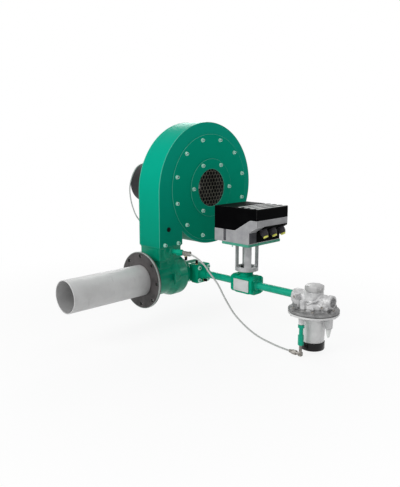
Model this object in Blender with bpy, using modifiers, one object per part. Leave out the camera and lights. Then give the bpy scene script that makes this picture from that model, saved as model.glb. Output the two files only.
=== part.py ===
"""Packaged industrial gas burner: combustion tube, cast body, blower with motor, gas train and regulator.

The furnace side face of the mounting flange is the origin. The combustion tube points to -X, the blower's
inlet and the gas train point to -Y, and +Z is up. Sizes are written in millimetres and kept in metres.
"""

from math import acos, atan2, ceil, cos, hypot, pi, radians, sin, sqrt

import bmesh
import bpy
from mathutils import Matrix, Vector

MM = 0.001

# Clearance left between neighbouring solids, and the distance within which loose caps are welded
GAP = 0.3 * MM
WELD = 0.001 * MM

# Depth that a bolt head or a fitting sinks into the part it is one piece with
SINK = 0.2 * MM

# Combustion tube and mounting flange
TUBE_OD = 114.3 * MM
TUBE_WALL = 3.0 * MM
TUBE_LENGTH = 321 * MM
FLANGE_OD = 212 * MM
FLANGE_THICKNESS = 10 * MM
FLANGE_HOLES = 8
FLANGE_HOLE_D = 14 * MM
FLANGE_BOLT_CIRCLE = 181.4 * MM

# Cast burner body: front pad, throat, drum, rear opening
PAD_R = 80 * MM
PAD_THICKNESS = 10 * MM
THROAT_R = 66 * MM
THROAT_END_X = 110 * MM
THROAT_END_R = 69 * MM
DRUM_R = 80.5 * MM
DRUM_X = 142 * MM
DRUM_END_X = 178 * MM
BODY_REAR_X = 195 * MM
REAR_FACE_R = 60 * MM
REAR_OPENING_R = 44 * MM
CAST_WALL = 6 * MM
SCREW_CIRCLE_FRONT = 146 * MM
SCREW_CIRCLE_REAR = 103 * MM

# Gas housing behind the body, its side pad for the gas inlet, and its rear cover
GAS_FLANGE_R = 57 * MM
GAS_FLANGE_T = 8 * MM
GAS_BARREL_R = 35 * MM
GAS_BORE_R = 26 * MM
GAS_FRONT_WALL = 12 * MM
REAR_COVER_THICKNESS = 8 * MM
REAR_COVER_SCREW_R = 30.5 * MM

# Air neck of the body
NECK_X = (48 * MM, 150 * MM)
NECK_Y = (-55 * MM, 46 * MM)
NECK_CORNER = 5 * MM
COLLAR_HEIGHT = 20 * MM
COLLAR_CLEAR = 2 * MM

# Gas pipe, orifice plate and gas inlet flange
PIPE_X = 243.6 * MM
PIPE_Z = 0.0
PIPE_R = 13.35 * MM
PIPE_WALL = 2.6 * MM
INLET_SIDE = 72 * MM
PAD_FACE_Y = -40 * MM
GAS_PORT_R = 11 * MM
ORIFICE_R = 5 * MM
ORIFICE_THICKNESS = 2.5 * MM
INLET_SPIGOT = 12 * MM
INLET_SPIGOT_SIDE = 64 * MM
INLET_BLOCK = 35 * MM
INLET_HUB_R = 17 * MM
INLET_HUB = 25 * MM
INLET_BOLT_SPACING = 49 * MM
PIPE_SOCKET = 18 * MM

# Gas tube, nozzle, electrodes and peep sight inside the body
GAS_TUBE_R = 14 * MM
GAS_TUBE_WALL = 2.5 * MM
NOZZLE_X = 14 * MM
NOZZLE_THICKNESS = 6 * MM
NOZZLE_SKIRT = 18 * MM
AIR_HOLES = 6
AIR_HOLE_R = 7 * MM
AIR_HOLE_CIRCLE_R = 38 * MM
GAS_HOLES = 4
GAS_HOLE_R = 2.2 * MM
GAS_HOLE_CIRCLE_R = 7 * MM
ELECTRODE_R = 1.6 * MM
CERAMIC_R = 3.5 * MM
ELECTRODE_OFFSET = 20 * MM
PEEP_R = 6 * MM

# Blower housing: a spiral round the impeller's axis, and a straight outlet down to the neck
OUTLET_LIP = 5.8 * MM
OUTLET_RIGHT_LIP = 6.5 * MM
OUTLET_BOTTOM_Z = 122 * MM
BLOWER_RISE = 205 * MM
SCROLL_R = 218 * MM
SCROLL_GROWTH = 16.25 * MM
SHEET = 3 * MM
OUTLET_LIP_FRONT = 7.4 * MM
OUTLET_LIP_BACK = 6.5 * MM
OUTLET_BOLT_RISE = 8 * MM
OUTLET_BOLT_INSET = 24 * MM
HOUSING_HOLE_R = 176 * MM
HOUSING_BACK_HOLE_R = 45 * MM
PLUG_HOLE_R = 6.3 * MM
PLUG_HEAD_R = 9 * MM
PLUG_X = 45 * MM
PLUG_RISE = 64 * MM

# Inlet cover, inlet ring, grille and cone
COVER_R = 205 * MM
COVER_BOLTS = 12
COVER_BOLT_R = 187.7 * MM
COVER_HOLE_R = 88 * MM
RING_R = 112 * MM
RING_HOLE_R = 72.4 * MM
RING_BOLTS = 6
RING_BOLT_R = 99.3 * MM
GRILLE_THICKNESS = 1.5 * MM
GRILLE_PITCH = 23 * MM
GRILLE_WEB = 2.2 * MM
CONE_SHEET = 1.5 * MM
CONE_DEPTH = 38 * MM
CONE_EYE_R = 70 * MM

# Impeller
IMPELLER_R = 170 * MM
IMPELLER_EYE_R = 78 * MM
IMPELLER_WIDTH = 52 * MM
IMPELLER_BACK_CLEAR = 14 * MM
IMPELLER_SHEET = 2.5 * MM
IMPELLER_BLADES = 10
BLADE_SWEEP = radians(48)
HUB_R = 20 * MM
HUB_LENGTH = 34 * MM

# Motor
MOTOR_R = 83 * MM
SHIELD_R = 80 * MM
SHIELD_THICKNESS = 10 * MM
MOTOR_BOLT_R = 65 * MM
FRAME_LENGTH = 190 * MM
FRAME_BORE_R = 58 * MM
FRAME_CORE_R = 65 * MM
FRAME_FINS = 24
FIN_SHARE = 0.34
COWL_SHEET = 1.5 * MM
COWL_OVERLAP = 15 * MM
COWL_LENGTH = 82 * MM
SHAFT_R = 9.5 * MM
JOURNAL_R = 12.5 * MM
BEARING_R = 26 * MM
BEARING_WIDTH = 15 * MM
ROTOR_R = 35.4 * MM
STATOR_R = 36.5 * MM
STACK_LENGTH = 92 * MM
FAN_R = 66 * MM
FAN_BLADES = 8
TERMINAL_BOX = (96 * MM, 84 * MM, 44 * MM)
TERMINAL_BOX_SETBACK = 78 * MM

# Rotary gas valve
VALVE_DISTANCE = 306 * MM
VALVE_REAR = 34 * MM
VALVE_FRONT = 37 * MM
VALVE_SIDE = 62 * MM
VALVE_LIFT = -1.5 * MM
VALVE_FLANGE = 69 * MM
VALVE_FLANGE_T = 9 * MM
PIPE_FLANGE_T = 13 * MM
VALVE_BOLT_SPACING = 48 * MM
VALVE_NECK_R = 23 * MM
VALVE_NECK_TOP = 48.7 * MM
VALVE_RING_R = 26 * MM
VALVE_RING_T = 5 * MM
PLUG_R = 16.5 * MM
PLUG_DROP = 17 * MM
PLUG_TOP = 28 * MM
PLUG_PORT_R = 10 * MM
STEM_R = 5 * MM
STEM_TOP = 92 * MM

# Spacer cage, shaft coupling and adapter plate
CAGE_R = 41.6 * MM
CAGE_WALL = 6.6 * MM
CAGE_HEIGHT = 105.7 * MM
CAGE_FLOOR = 8 * MM
CAGE_WINDOW = 34 * MM
CAGE_SILL = 14 * MM
CAGE_HEAD = 10 * MM
CAGE_SCREW_R = 20 * MM
COUPLING_R = 10 * MM
ADAPTER_T = 6 * MM
ADAPTER_X = (-86.6 * MM, 95.4 * MM)
ADAPTER_Y = (-77 * MM, 46 * MM)
STUD_X = (-61 * MM, 61 * MM)
STUD_Y = -19 * MM

# Actuator, measured from the valve's axis
ACTUATOR_X = (-86.8 * MM, 86.9 * MM)
ACTUATOR_BACK = 78 * MM
ACTUATOR_STEP = -16 * MM
ACTUATOR_SLOPE_END = -82.7 * MM
ACTUATOR_INSET = -77.4 * MM
ACTUATOR_FRONT = -110.9 * MM
ACTUATOR_HEIGHT = 123 * MM
BASE_LOW = 43.2 * MM
BASE_HIGH = 83.6 * MM
CHIN_LOW = 40 * MM
CHIN_HIGH = 61.2 * MM
CASE_WALL = 3 * MM
INDICATOR_R = 11 * MM
COVER_GROOVES = 4
GROOVE_WIDTH = 3 * MM
GROOVE_PITCH = 15 * MM
GLAND_SPACING = 49 * MM
GLAND_OFFSET = 15 * MM
GLAND_R = 11.7 * MM
GLAND_LENGTH = 20 * MM
GLAND_PLUG_R = 8 * MM

# Air/gas ratio regulator, measured from its own axis and from the pipe's height
REGULATOR_DISTANCE = 593.3 * MM
RIM_R = 83.8 * MM
RIM_T = 6.8 * MM
RIM_TOP = -33.2 * MM
DIAPHRAGM_T = 1.5 * MM
DIAPHRAGM_R = 80.5 * MM
CHAMBER_R = 62 * MM
DOME_R = 66 * MM
DOME_TOP_R = 30 * MM
DOME_TOP = 26 * MM
OUTLET_PORT_R = 22 * MM
OUTLET_PORT = 91 * MM
INLET_PORT_R = 19.8 * MM
INLET_PORT = 71 * MM
VALVE_CHAMBER_R = 18 * MM
CAP_FLATS = 53 * MM
CAP_HEIGHT = 23.5 * MM
CASING_SCREWS = 6
CASING_SCREW_R = 75.5 * MM
SPRING_HOUSING_R = 38 * MM
SPRING_BORE_R = 31 * MM
SPRING_HOUSING_BOTTOM = -142 * MM
SPRING_R = 20 * MM
SPRING_WIRE_R = 2 * MM
SPRING_TURNS = 5
ADJUSTER_T = 12 * MM
BOTTOM_CAP_R = 40 * MM
BOTTOM_CAP_HEIGHT = 27.4 * MM
THREAD_LENGTH = 17.6 * MM
DIAPHRAGM_PLATE_R = 42 * MM
VENT_Y = -58.3 * MM
VENT_BOTTOM = -93 * MM
IMPULSE_X = -68.8 * MM

# Impulse line and air tap
IMPULSE_R = 3 * MM
AIR_TAP_X = 105 * MM
AIR_TAP_Z = 104 * MM
NIPPLE_LENGTH = 66 * MM
NIPPLE_R = 8.5 * MM
TEE_SIDE = 15 * MM
TEE_LENGTH = 26 * MM
ELBOW_DROP = 172 * MM
ELBOW_REACH = 42 * MM

# Motor cable
CABLE_R = 2.5 * MM
CABLE_ROUTE = ((0.1482, 0.176, 0.4102), (0.1146, 0.171, 0.3807), (0.0935, 0.164, 0.3446),
               (0.0825, 0.155, 0.3109), (0.0786, 0.143, 0.2751), (0.0774, 0.131, 0.2506),
               (0.08, 0.112, 0.2179))

# Points the impulse tube passes on its way
TUBE_ROUTE = ((0.1099, -0.1861, 0.0939), (0.1152, -0.2159, 0.074), (0.1186, -0.2353, 0.0526),
              (0.1223, -0.2557, 0.0308), (0.1259, -0.2761, 0.008), (0.131, -0.3046, -0.0371),
              (0.1375, -0.3417, -0.0849), (0.1457, -0.3876, -0.1217), (0.1536, -0.4323, -0.1456),
              (0.1614, -0.4758, -0.1588), (0.1689, -0.5182, -0.1678))

# M8 and M6 hexagon bolts: across flats, head height, shank radius
M8 = (13 * MM, 5.3 * MM, 4 * MM)
M6 = (10 * MM, 4 * MM, 3 * MM)
M5 = (8 * MM, 3.5 * MM, 2.5 * MM)
M4 = (7 * MM, 2.8 * MM, 2 * MM)

# Places worked out from the sizes above
TUBE_R = TUBE_OD / 2
PAD_X = FLANGE_THICKNESS + GAP
GAS_HOUSING_X = BODY_REAR_X + GAP
GAS_HOUSING_END = PIPE_X + INLET_SIDE / 2 + 3 * MM
REAR_COVER_X = GAS_HOUSING_END + GAP
OUTLET_LEFT = NECK_X[0] - OUTLET_LIP
OUTLET_RIGHT = NECK_X[1] + OUTLET_RIGHT_LIP
BLOWER_X = OUTLET_LEFT + SCROLL_R + 3 * SCROLL_GROWTH
BLOWER_Z = OUTLET_BOTTOM_Z + BLOWER_RISE
FRONT_Y = NECK_Y[0] - OUTLET_LIP_FRONT
BACK_Y = NECK_Y[1] + OUTLET_LIP_BACK
COVER_Y = FRONT_Y - GAP - SHEET
RING_Y = COVER_Y - GAP - SHEET
ORIFICE_Y = PAD_FACE_Y - GAP
INLET_Y = ORIFICE_Y - ORIFICE_THICKNESS - GAP
BLOCK_Y = INLET_Y - INLET_SPIGOT - INLET_BLOCK
HUB_END_Y = BLOCK_Y - INLET_HUB
VALVE_Y = -VALVE_DISTANCE
CAGE_Z = PIPE_Z + VALVE_NECK_TOP + GAP
ADAPTER_Z = CAGE_Z + CAGE_HEIGHT + GAP
ACTUATOR_Z = ADAPTER_Z + ADAPTER_T + GAP
REGULATOR_Y = -REGULATOR_DISTANCE
RIM_Z = PIPE_Z + RIM_TOP
UPPER_FACE_Z = RIM_Z - RIM_T
DIAPHRAGM_Z = UPPER_FACE_Z - GAP - DIAPHRAGM_T
LOWER_FACE_Z = DIAPHRAGM_Z - GAP
SHIELD_Y = BACK_Y + GAP
FRAME_Y = SHIELD_Y + SHIELD_THICKNESS + GAP
REAR_SHIELD_Y = FRAME_Y + FRAME_LENGTH + GAP
FIN_R = MOTOR_R - COWL_SHEET - 3 * GAP
TEE_Y = NECK_Y[0] - NIPPLE_LENGTH - GAP

# Rotations that turn local +Z to the named direction and keep local +Y upright where there is a choice
AXES = {
    'X': (pi / 2, 0, pi / 2),
    '-X': (pi / 2, 0, -pi / 2),
    'Y': (pi / 2, 0, pi),
    '-Y': (pi / 2, 0, 0),
    'Z': (0, 0, 0),
    '-Z': (pi, 0, 0),
}


def clear_scene():
    for obj in list(bpy.data.objects):
        bpy.data.objects.remove(obj)


clear_scene()
PARTS = bpy.data.collections.new("gas_burner")
bpy.context.scene.collection.children.link(PARTS)


def material(name, colour, roughness, metallic=0.0):
    mat = bpy.data.materials.new(name)
    mat.use_nodes = True
    shader = mat.node_tree.nodes["Principled BSDF"]
    shader.inputs["Base Color"].default_value = (*colour, 1)
    shader.inputs["Roughness"].default_value = roughness
    shader.inputs["Metallic"].default_value = metallic
    return mat


GREEN = material("green_paint", (0.0, 0.22, 0.13), 0.35)
TUBE_STEEL = material("tube_steel", (0.55, 0.54, 0.53), 0.45, 0.6)
DARK_STEEL = material("dark_steel", (0.16, 0.14, 0.13), 0.5, 0.8)
PLATED = material("plated_steel", (0.7, 0.7, 0.68), 0.3, 1.0)
ALUMINIUM = material("cast_aluminium", (0.62, 0.61, 0.6), 0.45, 0.9)
BLACK = material("black_plastic", (0.015, 0.015, 0.015), 0.4)
RUBBER = material("black_rubber", (0.02, 0.02, 0.02), 0.8)
YELLOW = material("yellow_plastic", (0.75, 0.8, 0.02), 0.4)
BRASS = material("brass", (0.6, 0.45, 0.2), 0.35, 1.0)
CERAMIC = material("ceramic", (0.85, 0.83, 0.78), 0.3)
WHITE = material("white_plastic", (0.8, 0.8, 0.8), 0.5)
TUBING = material("grey_tubing", (0.6, 0.61, 0.6), 0.4)
MOTOR_BLACK = material("motor_paint", (0.03, 0.03, 0.03), 0.5)


def place(obj, at, axis):
    obj.location = at
    obj.rotation_euler = axis.to_track_quat('Z', 'Y').to_euler() if isinstance(axis, Vector) else AXES[axis]
    bpy.context.view_layer.update()
    return obj


def keep(name, data, mat):
    obj = bpy.data.objects.new(name, data)
    obj.data.materials.clear()
    obj.data.materials.append(mat)
    PARTS.objects.link(obj)
    return obj


def baked(obj):
    """Apply an object's modifiers, or turn a curve into a mesh, and weld its caps."""
    bpy.context.view_layer.update()
    depsgraph = bpy.context.evaluated_depsgraph_get()
    mesh = bpy.data.meshes.new_from_object(obj.evaluated_get(depsgraph))
    bm = bmesh.new()
    bm.from_mesh(mesh)
    bmesh.ops.remove_doubles(bm, verts=bm.verts, dist=WELD)
    bm.to_mesh(mesh)
    bm.free()
    name, matrix, mat = obj.name, obj.matrix_world.copy(), obj.data.materials[0]
    bpy.data.objects.remove(obj)
    solid = keep(name, mesh, mat)
    solid.matrix_world = matrix
    mesh.shade_smooth()
    mesh.set_sharp_from_angle(angle=radians(35))
    return solid


def turned(name, profile, at, axis, mat, steps=16):
    """Turn a profile of (radius, height) points. One that starts on the axis makes a solid, else a ring."""
    doubled_area = sum(a[0] * b[1] - b[0] * a[1] for a, b in zip(profile, profile[1:] + profile[:1]))
    points = profile[::-1] if doubled_area > 0 else profile
    edges = [(i, i + 1) for i in range(len(points) - 1)]
    if min(points[0][0], points[-1][0]) > 0:
        edges.append((len(points) - 1, 0))
    mesh = bpy.data.meshes.new(name)
    mesh.from_pydata([(r, 0, z) for r, z in points], edges, [])
    obj = place(keep(name, mesh, mat), at, axis)
    screw = obj.modifiers.new("Turn", 'SCREW')
    screw.axis = 'Z'
    screw.steps = screw.render_steps = steps
    screw.use_merge_vertices = True
    screw.merge_threshold = WELD
    return baked(obj)


def rod(name, radius, length, at, axis, mat, steps=12):
    """A plain cylinder from its foot at a point, along an axis."""
    profile = [(0, 0), (radius, 0), (radius, length), (0, length)]
    return turned(name, profile, at, axis, mat, steps)


def tube(name, outer, inner, length, at, axis, mat, steps=16):
    profile = [(outer, 0), (outer, length), (inner, length), (inner, 0)]
    return turned(name, profile, at, axis, mat, steps)


def sheet(name, outlines, thickness, at, axis, mat):
    """A flat outline with holes, of a given thickness, standing on its place along an axis."""
    curve = bpy.data.curves.new(name, 'CURVE')
    curve.dimensions = '2D'
    curve.fill_mode = 'BOTH'
    curve.extrude = thickness / 2
    for points in outlines:
        spline = curve.splines.new('POLY')
        spline.points.add(len(points) - 1)
        for point, (x, y) in zip(spline.points, points):
            point.co = (x, y, 0, 1)
        spline.use_cyclic_u = True
    obj = place(keep(name, curve, mat), at, axis)
    obj.location = obj.matrix_world @ Vector((0, 0, thickness / 2))
    return baked(obj)


def circle(radius, count=16, centre=(0, 0)):
    return [(centre[0] + radius * cos(2 * pi * i / count), centre[1] + radius * sin(2 * pi * i / count))
            for i in range(count)]


def bolt_hole(size, centre):
    """Six sided outline of a bolt's clearance hole."""
    return circle((size[2] + GAP) / cos(pi / 6), 6, centre)


def ring_places(radius, count, start=0.0):
    return [(radius * cos(start + 2 * pi * i / count), radius * sin(start + 2 * pi * i / count))
            for i in range(count)]


def rounded_rectangle(x0, x1, y0, y1, corner, steps=4):
    points = []
    for cx, cy, turn in ((x1 - corner, y1 - corner, 0), (x0 + corner, y1 - corner, 1),
                         (x0 + corner, y0 + corner, 2), (x1 - corner, y0 + corner, 3)):
        for i in range(steps + 1):
            angle = (turn + i / steps) * pi / 2
            points.append((cx + corner * cos(angle), cy + corner * sin(angle)))
    return points


def box(name, low, high, mat, bevel=0.0, along=None):
    """A box between two corners, with its edges, or only those along one axis, rounded."""
    bm = bmesh.new()
    bmesh.ops.create_cube(bm, size=1)
    size = Vector(high) - Vector(low)
    bmesh.ops.scale(bm, vec=size, verts=bm.verts)
    if bevel:
        edges = bm.edges
        if along is not None:
            edges = [e for e in bm.edges if abs((e.verts[0].co - e.verts[1].co)[along]) > WELD]
        bmesh.ops.bevel(bm, geom=list(edges), offset=bevel, segments=2, profile=0.5, affect='EDGES', material=-1)
    mesh = bpy.data.meshes.new(name)
    bm.to_mesh(mesh)
    bm.free()
    obj = keep(name, mesh, mat)
    obj.location = (Vector(low) + Vector(high)) / 2
    bpy.context.view_layer.update()
    return obj


def merged(name, pieces, mat):
    """Put separate solids into one object."""
    bm = bmesh.new()
    for piece in pieces:
        copy = piece.data.copy()
        copy.transform(piece.matrix_world)
        bm.from_mesh(copy)
        bpy.data.objects.remove(piece)
    mesh = bpy.data.meshes.new(name)
    bm.to_mesh(mesh)
    bm.free()
    return keep(name, mesh, mat)


def combined(obj, others, operation):
    for other in others:
        modifier = obj.modifiers.new(operation.title(), 'BOOLEAN')
        modifier.operation = operation
        modifier.solver = 'EXACT'
        modifier.object = other
        obj = baked(obj)
        bpy.data.objects.remove(other)
    return obj


def joined(obj, *others):
    return combined(obj, others, 'UNION')


def cut(obj, *others):
    return combined(obj, others, 'DIFFERENCE')


def hole_cutter(places, radius, length, axis, steps=6):
    """One cutter for holes of a size, each centred on its place. Its flats clear a round of that size."""
    radius /= cos(pi / steps)
    offset = axis_vector(axis) * -length / 2
    pieces = [rod("hole", radius, length, Vector(at) + offset, axis, DARK_STEEL, steps) for at in places]
    return merged("holes", pieces, DARK_STEEL)


def axis_vector(axis):
    if isinstance(axis, Vector):
        return axis
    vector = Vector((0, 0, 0))
    vector['XYZ'.index(axis[-1])] = -1 if axis[0] == '-' else 1
    return vector


def bolt_shape(size, length, tip=0.0):
    """A hexagon bolt whose head stands on z = 0 with its shank below, and a tip above if asked."""
    flats, head, shank_r = size
    bm = bmesh.new()
    bmesh.ops.create_cone(bm, cap_ends=True, segments=6, radius1=shank_r, radius2=shank_r, depth=length)
    bmesh.ops.translate(bm, vec=(0, 0, -length / 2), verts=bm.verts)

    def grow(rise, radius):
        top = max(bm.faces, key=lambda face: face.calc_center_median().z)
        face = bmesh.ops.extrude_discrete_faces(bm, faces=[top])['faces'][0]
        for vert in face.verts:
            angle = atan2(vert.co.y, vert.co.x)
            vert.co = (radius * cos(angle), radius * sin(angle), vert.co.z + rise)

    grow(0.01 * MM, flats / sqrt(3))
    grow(head, flats / sqrt(3))
    if tip:
        grow(0.01 * MM, shank_r)
        grow(tip, shank_r)
    return bm


def bolted(obj, rows):
    """Join bolts to the part they hold. Each row is (place of the seat, head direction, size, shank length, tip)."""
    whole = bmesh.new()
    for at, axis, size, length, tip in rows:
        bm = bolt_shape(size, length, tip)
        turn = axis_vector(axis).to_track_quat('Z', 'Y').to_matrix().to_4x4()
        seat = Vector(at) - axis_vector(axis) * SINK
        bmesh.ops.transform(bm, matrix=Matrix.Translation(seat) @ turn, verts=bm.verts)
        mesh = bpy.data.meshes.new("bolt")
        bm.to_mesh(mesh)
        bm.free()
        whole.from_mesh(mesh)
    mesh = bpy.data.meshes.new("bolts")
    whole.to_mesh(mesh)
    whole.free()
    return joined(obj, keep("bolts", mesh, obj.data.materials[0]))


def smooth_route(points, spacing):
    """Points at an even spacing on a smooth curve through the given ones."""
    knots = [Vector(p) for p in points]
    knots = [2 * knots[0] - knots[1]] + knots + [2 * knots[-1] - knots[-2]]
    dense = []
    for a, b, c, d in zip(knots, knots[1:], knots[2:], knots[3:]):
        for i in range(24):
            t = i / 24
            dense.append(0.5 * (2 * b + (c - a) * t + (2 * a - 5 * b + 4 * c - d) * t * t
                                + (3 * b - a - 3 * c + d) * t ** 3))
    dense.append(knots[-2])
    steps = [(q - p).length for p, q in zip(dense, dense[1:])]
    count = max(2, ceil(sum(steps) / spacing))
    route = [dense[0]]
    walked = 0.0
    for p, q, step in zip(dense, dense[1:], steps):
        while walked + step >= len(route) * sum(steps) / count and len(route) < count:
            share = (len(route) * sum(steps) / count - walked) / step
            route.append(p.lerp(q, share))
        walked += step
    route.append(dense[-1])
    return route


def wire(name, points, radius, mat, resolution=2):
    curve = bpy.data.curves.new(name, 'CURVE')
    curve.dimensions = '3D'
    curve.bevel_depth = radius
    curve.bevel_resolution = resolution
    curve.use_fill_caps = True
    spline = curve.splines.new('POLY')
    spline.points.add(len(points) - 1)
    for point, co in zip(spline.points, points):
        point.co = (*co, 1)
    return baked(keep(name, curve, mat))


def combustion_tube():
    profile = [(TUBE_R, -TUBE_LENGTH), (TUBE_R, FLANGE_THICKNESS),
               (TUBE_R - TUBE_WALL, FLANGE_THICKNESS), (TUBE_R - TUBE_WALL, -TUBE_LENGTH)]
    turned("combustion_tube", profile, (0, 0, 0), 'X', TUBE_STEEL, 24)


def body_screw_places(x):
    return [(x, y, z) for y, z in ring_places(SCREW_CIRCLE_FRONT / 2, 4, radians(42))]


def cover_screw_places(x):
    return [(x, y, z) for y, z in ring_places(SCREW_CIRCLE_REAR / 2, 6, pi / 6)]


def mounting_flange():
    bore = TUBE_R + 2 * GAP
    flange = tube("mounting_flange", FLANGE_OD / 2, bore, FLANGE_THICKNESS, (0, 0, 0), 'X', DARK_STEEL, 30)
    places = [(FLANGE_THICKNESS / 2, y, z) for y, z in ring_places(FLANGE_BOLT_CIRCLE / 2, FLANGE_HOLES, pi / 2)]
    holes = hole_cutter(places, FLANGE_HOLE_D / 2, 3 * FLANGE_THICKNESS, 'X', 10)
    depth = 0.8 * FLANGE_THICKNESS
    blind = hole_cutter(body_screw_places(FLANGE_THICKNESS), M6[2] + GAP, 2 * depth, 'X')
    cut(flange, holes, blind)


def body_outline(inset):
    """Profile of the drum from the pad to the rear face, moved inward by a wall."""
    rounding = [(REAR_FACE_R + (DRUM_R - REAR_FACE_R) * cos(t) - inset,
                 DRUM_END_X + (BODY_REAR_X - DRUM_END_X - inset) * sin(t))
                for t in [i / 3 * pi / 2 for i in range(4)]]
    swell = [(THROAT_END_R + (DRUM_R - THROAT_END_R) * (1 - cos(t)) / 2 - inset,
              THROAT_END_X + (DRUM_X - THROAT_END_X) * t / pi) for t in [i / 3 * pi for i in range(4)]]
    return swell + rounding


def burner_body():
    """Casting: pad, throat and drum along the tube, with the air neck standing on it."""
    start = PAD_X + PAD_THICKNESS
    outer = [(0, PAD_X), (PAD_R, PAD_X), (PAD_R, start), (THROAT_R, start)] + body_outline(0) + [(0, BODY_REAR_X)]
    body = turned("burner_body", outer, (0, 0, 0), 'X', GREEN, 24)
    top = OUTLET_BOTTOM_Z + COLLAR_CLEAR + COLLAR_HEIGHT
    neck = box("neck", (NECK_X[0], NECK_Y[0], 0.2 * THROAT_R), (NECK_X[1], NECK_Y[1], top), GREEN, NECK_CORNER, 2)
    collar = box("collar", (OUTLET_LEFT + SHEET + GAP, FRONT_Y + SHEET + GAP, OUTLET_BOTTOM_Z + COLLAR_CLEAR),
                 (OUTLET_RIGHT - SHEET - GAP, BACK_Y - SHEET - GAP, top - GAP), GREEN)
    body = joined(body, neck, collar)
    bore = TUBE_R - TUBE_WALL
    inner = [(0, 0), (bore, 0), (bore, start), (THROAT_R - CAST_WALL, start + 2 * CAST_WALL)]
    inner += body_outline(CAST_WALL) + [(REAR_OPENING_R, BODY_REAR_X - CAST_WALL),
                                        (REAR_OPENING_R, BODY_REAR_X + CAST_WALL), (0, BODY_REAR_X + CAST_WALL)]
    chamber = turned("chamber", inner, (0, 0, 0), 'X', GREEN, 24)
    channel = box("channel", (NECK_X[0] + CAST_WALL, NECK_Y[0] + CAST_WALL, 0.45 * THROAT_R),
                  (NECK_X[1] - CAST_WALL, NECK_Y[1] - CAST_WALL, top + CAST_WALL), GREEN)
    cover_holes = hole_cutter(cover_screw_places(BODY_REAR_X), M6[2] + GAP, 24 * MM, 'X')
    outlet_holes = hole_cutter([(x, (FRONT_Y + BACK_Y) / 2, OUTLET_BOTTOM_Z + OUTLET_BOLT_RISE)
                                for x in outlet_bolt_xs()], M8[2] + GAP, 2 * (BACK_Y - FRONT_Y), 'Y')
    tap_hole = rod("tap", NIPPLE_R - 2.2 * MM, 3 * CAST_WALL, (AIR_TAP_X, NECK_Y[0] - CAST_WALL, AIR_TAP_Z),
                   'Y', GREEN, 8)
    body = cut(body, chamber, channel, cover_holes, outlet_holes, tap_hole)
    bolted(body, [(at, 'X', M6, PAD_THICKNESS + 0.6 * FLANGE_THICKNESS, 0) for at in body_screw_places(start)])


def rear_screw_places(x):
    return [(x, y, z) for y, z in ring_places(REAR_COVER_SCREW_R, 4, pi / 4)]


def electrode_places(x):
    return [(x, side * ELECTRODE_OFFSET, 0) for side in (-1, 1)]


def gas_housing():
    """Barrel behind the drum. Its side pad takes the gas inlet, its front wall holds the gas tube."""
    end = GAS_HOUSING_END
    flange_end = GAS_HOUSING_X + GAS_FLANGE_T
    profile = [(0, GAS_HOUSING_X), (GAS_FLANGE_R, GAS_HOUSING_X), (GAS_FLANGE_R, flange_end),
               (GAS_BARREL_R, flange_end), (GAS_BARREL_R, end), (0, end)]
    housing = turned("gas_housing", profile, (0, 0, 0), 'X', GREEN, 20)
    half = INLET_SIDE / 2
    pad = box("pad", (PIPE_X - half, PAD_FACE_Y, PIPE_Z - half), (PIPE_X + half, PAD_FACE_Y + 12 * MM, PIPE_Z + half),
              GREEN, 2 * MM, 1)
    housing = joined(housing, pad)
    bore = rod("bore", GAS_BORE_R, end, (GAS_HOUSING_X + GAS_FRONT_WALL, 0, 0), 'X', GREEN, 16)
    tube_hole = rod("tube", GAS_TUBE_R + GAP, 4 * GAS_FRONT_WALL, (GAS_HOUSING_X - GAS_FRONT_WALL, 0, 0), 'X', GREEN,
                    16)
    port = rod("port", GAS_PORT_R, 40 * MM, (PIPE_X, PAD_FACE_Y - 10 * MM, PIPE_Z), 'Y', GREEN)
    electrode_holes = hole_cutter(electrode_places(GAS_HOUSING_X), CERAMIC_R + GAP, 4 * GAS_FRONT_WALL, 'X')
    rear_screws = hole_cutter(rear_screw_places(end), M5[2] + GAP, 24 * MM, 'X', 8)
    blind = hole_cutter([(x, PAD_FACE_Y, z) for x, z in inlet_bolt_places()], M8[2] + GAP, 16 * MM, 'Y')
    housing = cut(housing, bore, tube_hole, port, electrode_holes, rear_screws, blind)
    bolted(housing, [(at, 'X', M6, GAS_FLANGE_T + 9 * MM, 0) for at in cover_screw_places(flange_end)])


def rear_cover():
    """Cover of the gas housing with a raised sight tube on the axis."""
    out = REAR_COVER_X + REAR_COVER_THICKNESS
    profile = [(PEEP_R, REAR_COVER_X), (GAS_BARREL_R, REAR_COVER_X), (GAS_BARREL_R, out), (12 * MM, out),
               (12 * MM, out + 12 * MM), (10 * MM, out + 14 * MM), (PEEP_R + 2 * MM, out + 14 * MM),
               (PEEP_R + 2 * MM, out + 4 * MM), (PEEP_R, out + 4 * MM)]
    cover = turned("rear_cover", profile, (0, 0, 0), 'X', GREEN, 16)
    electrode_holes = hole_cutter(electrode_places(REAR_COVER_X), CERAMIC_R + GAP, 40 * MM, 'X')
    cover = cut(cover, electrode_holes)
    bolted(cover, [(at, 'X', M5, REAR_COVER_THICKNESS + 8 * MM, 0) for at in rear_screw_places(out)])


def gas_tube():
    start = NOZZLE_X + NOZZLE_THICKNESS + GAP
    end = GAS_HOUSING_X + GAS_FRONT_WALL - 1 * MM
    tube("gas_tube", GAS_TUBE_R, GAS_TUBE_R - GAS_TUBE_WALL, end - start, (start, 0, 0), 'X', TUBE_STEEL)


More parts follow.
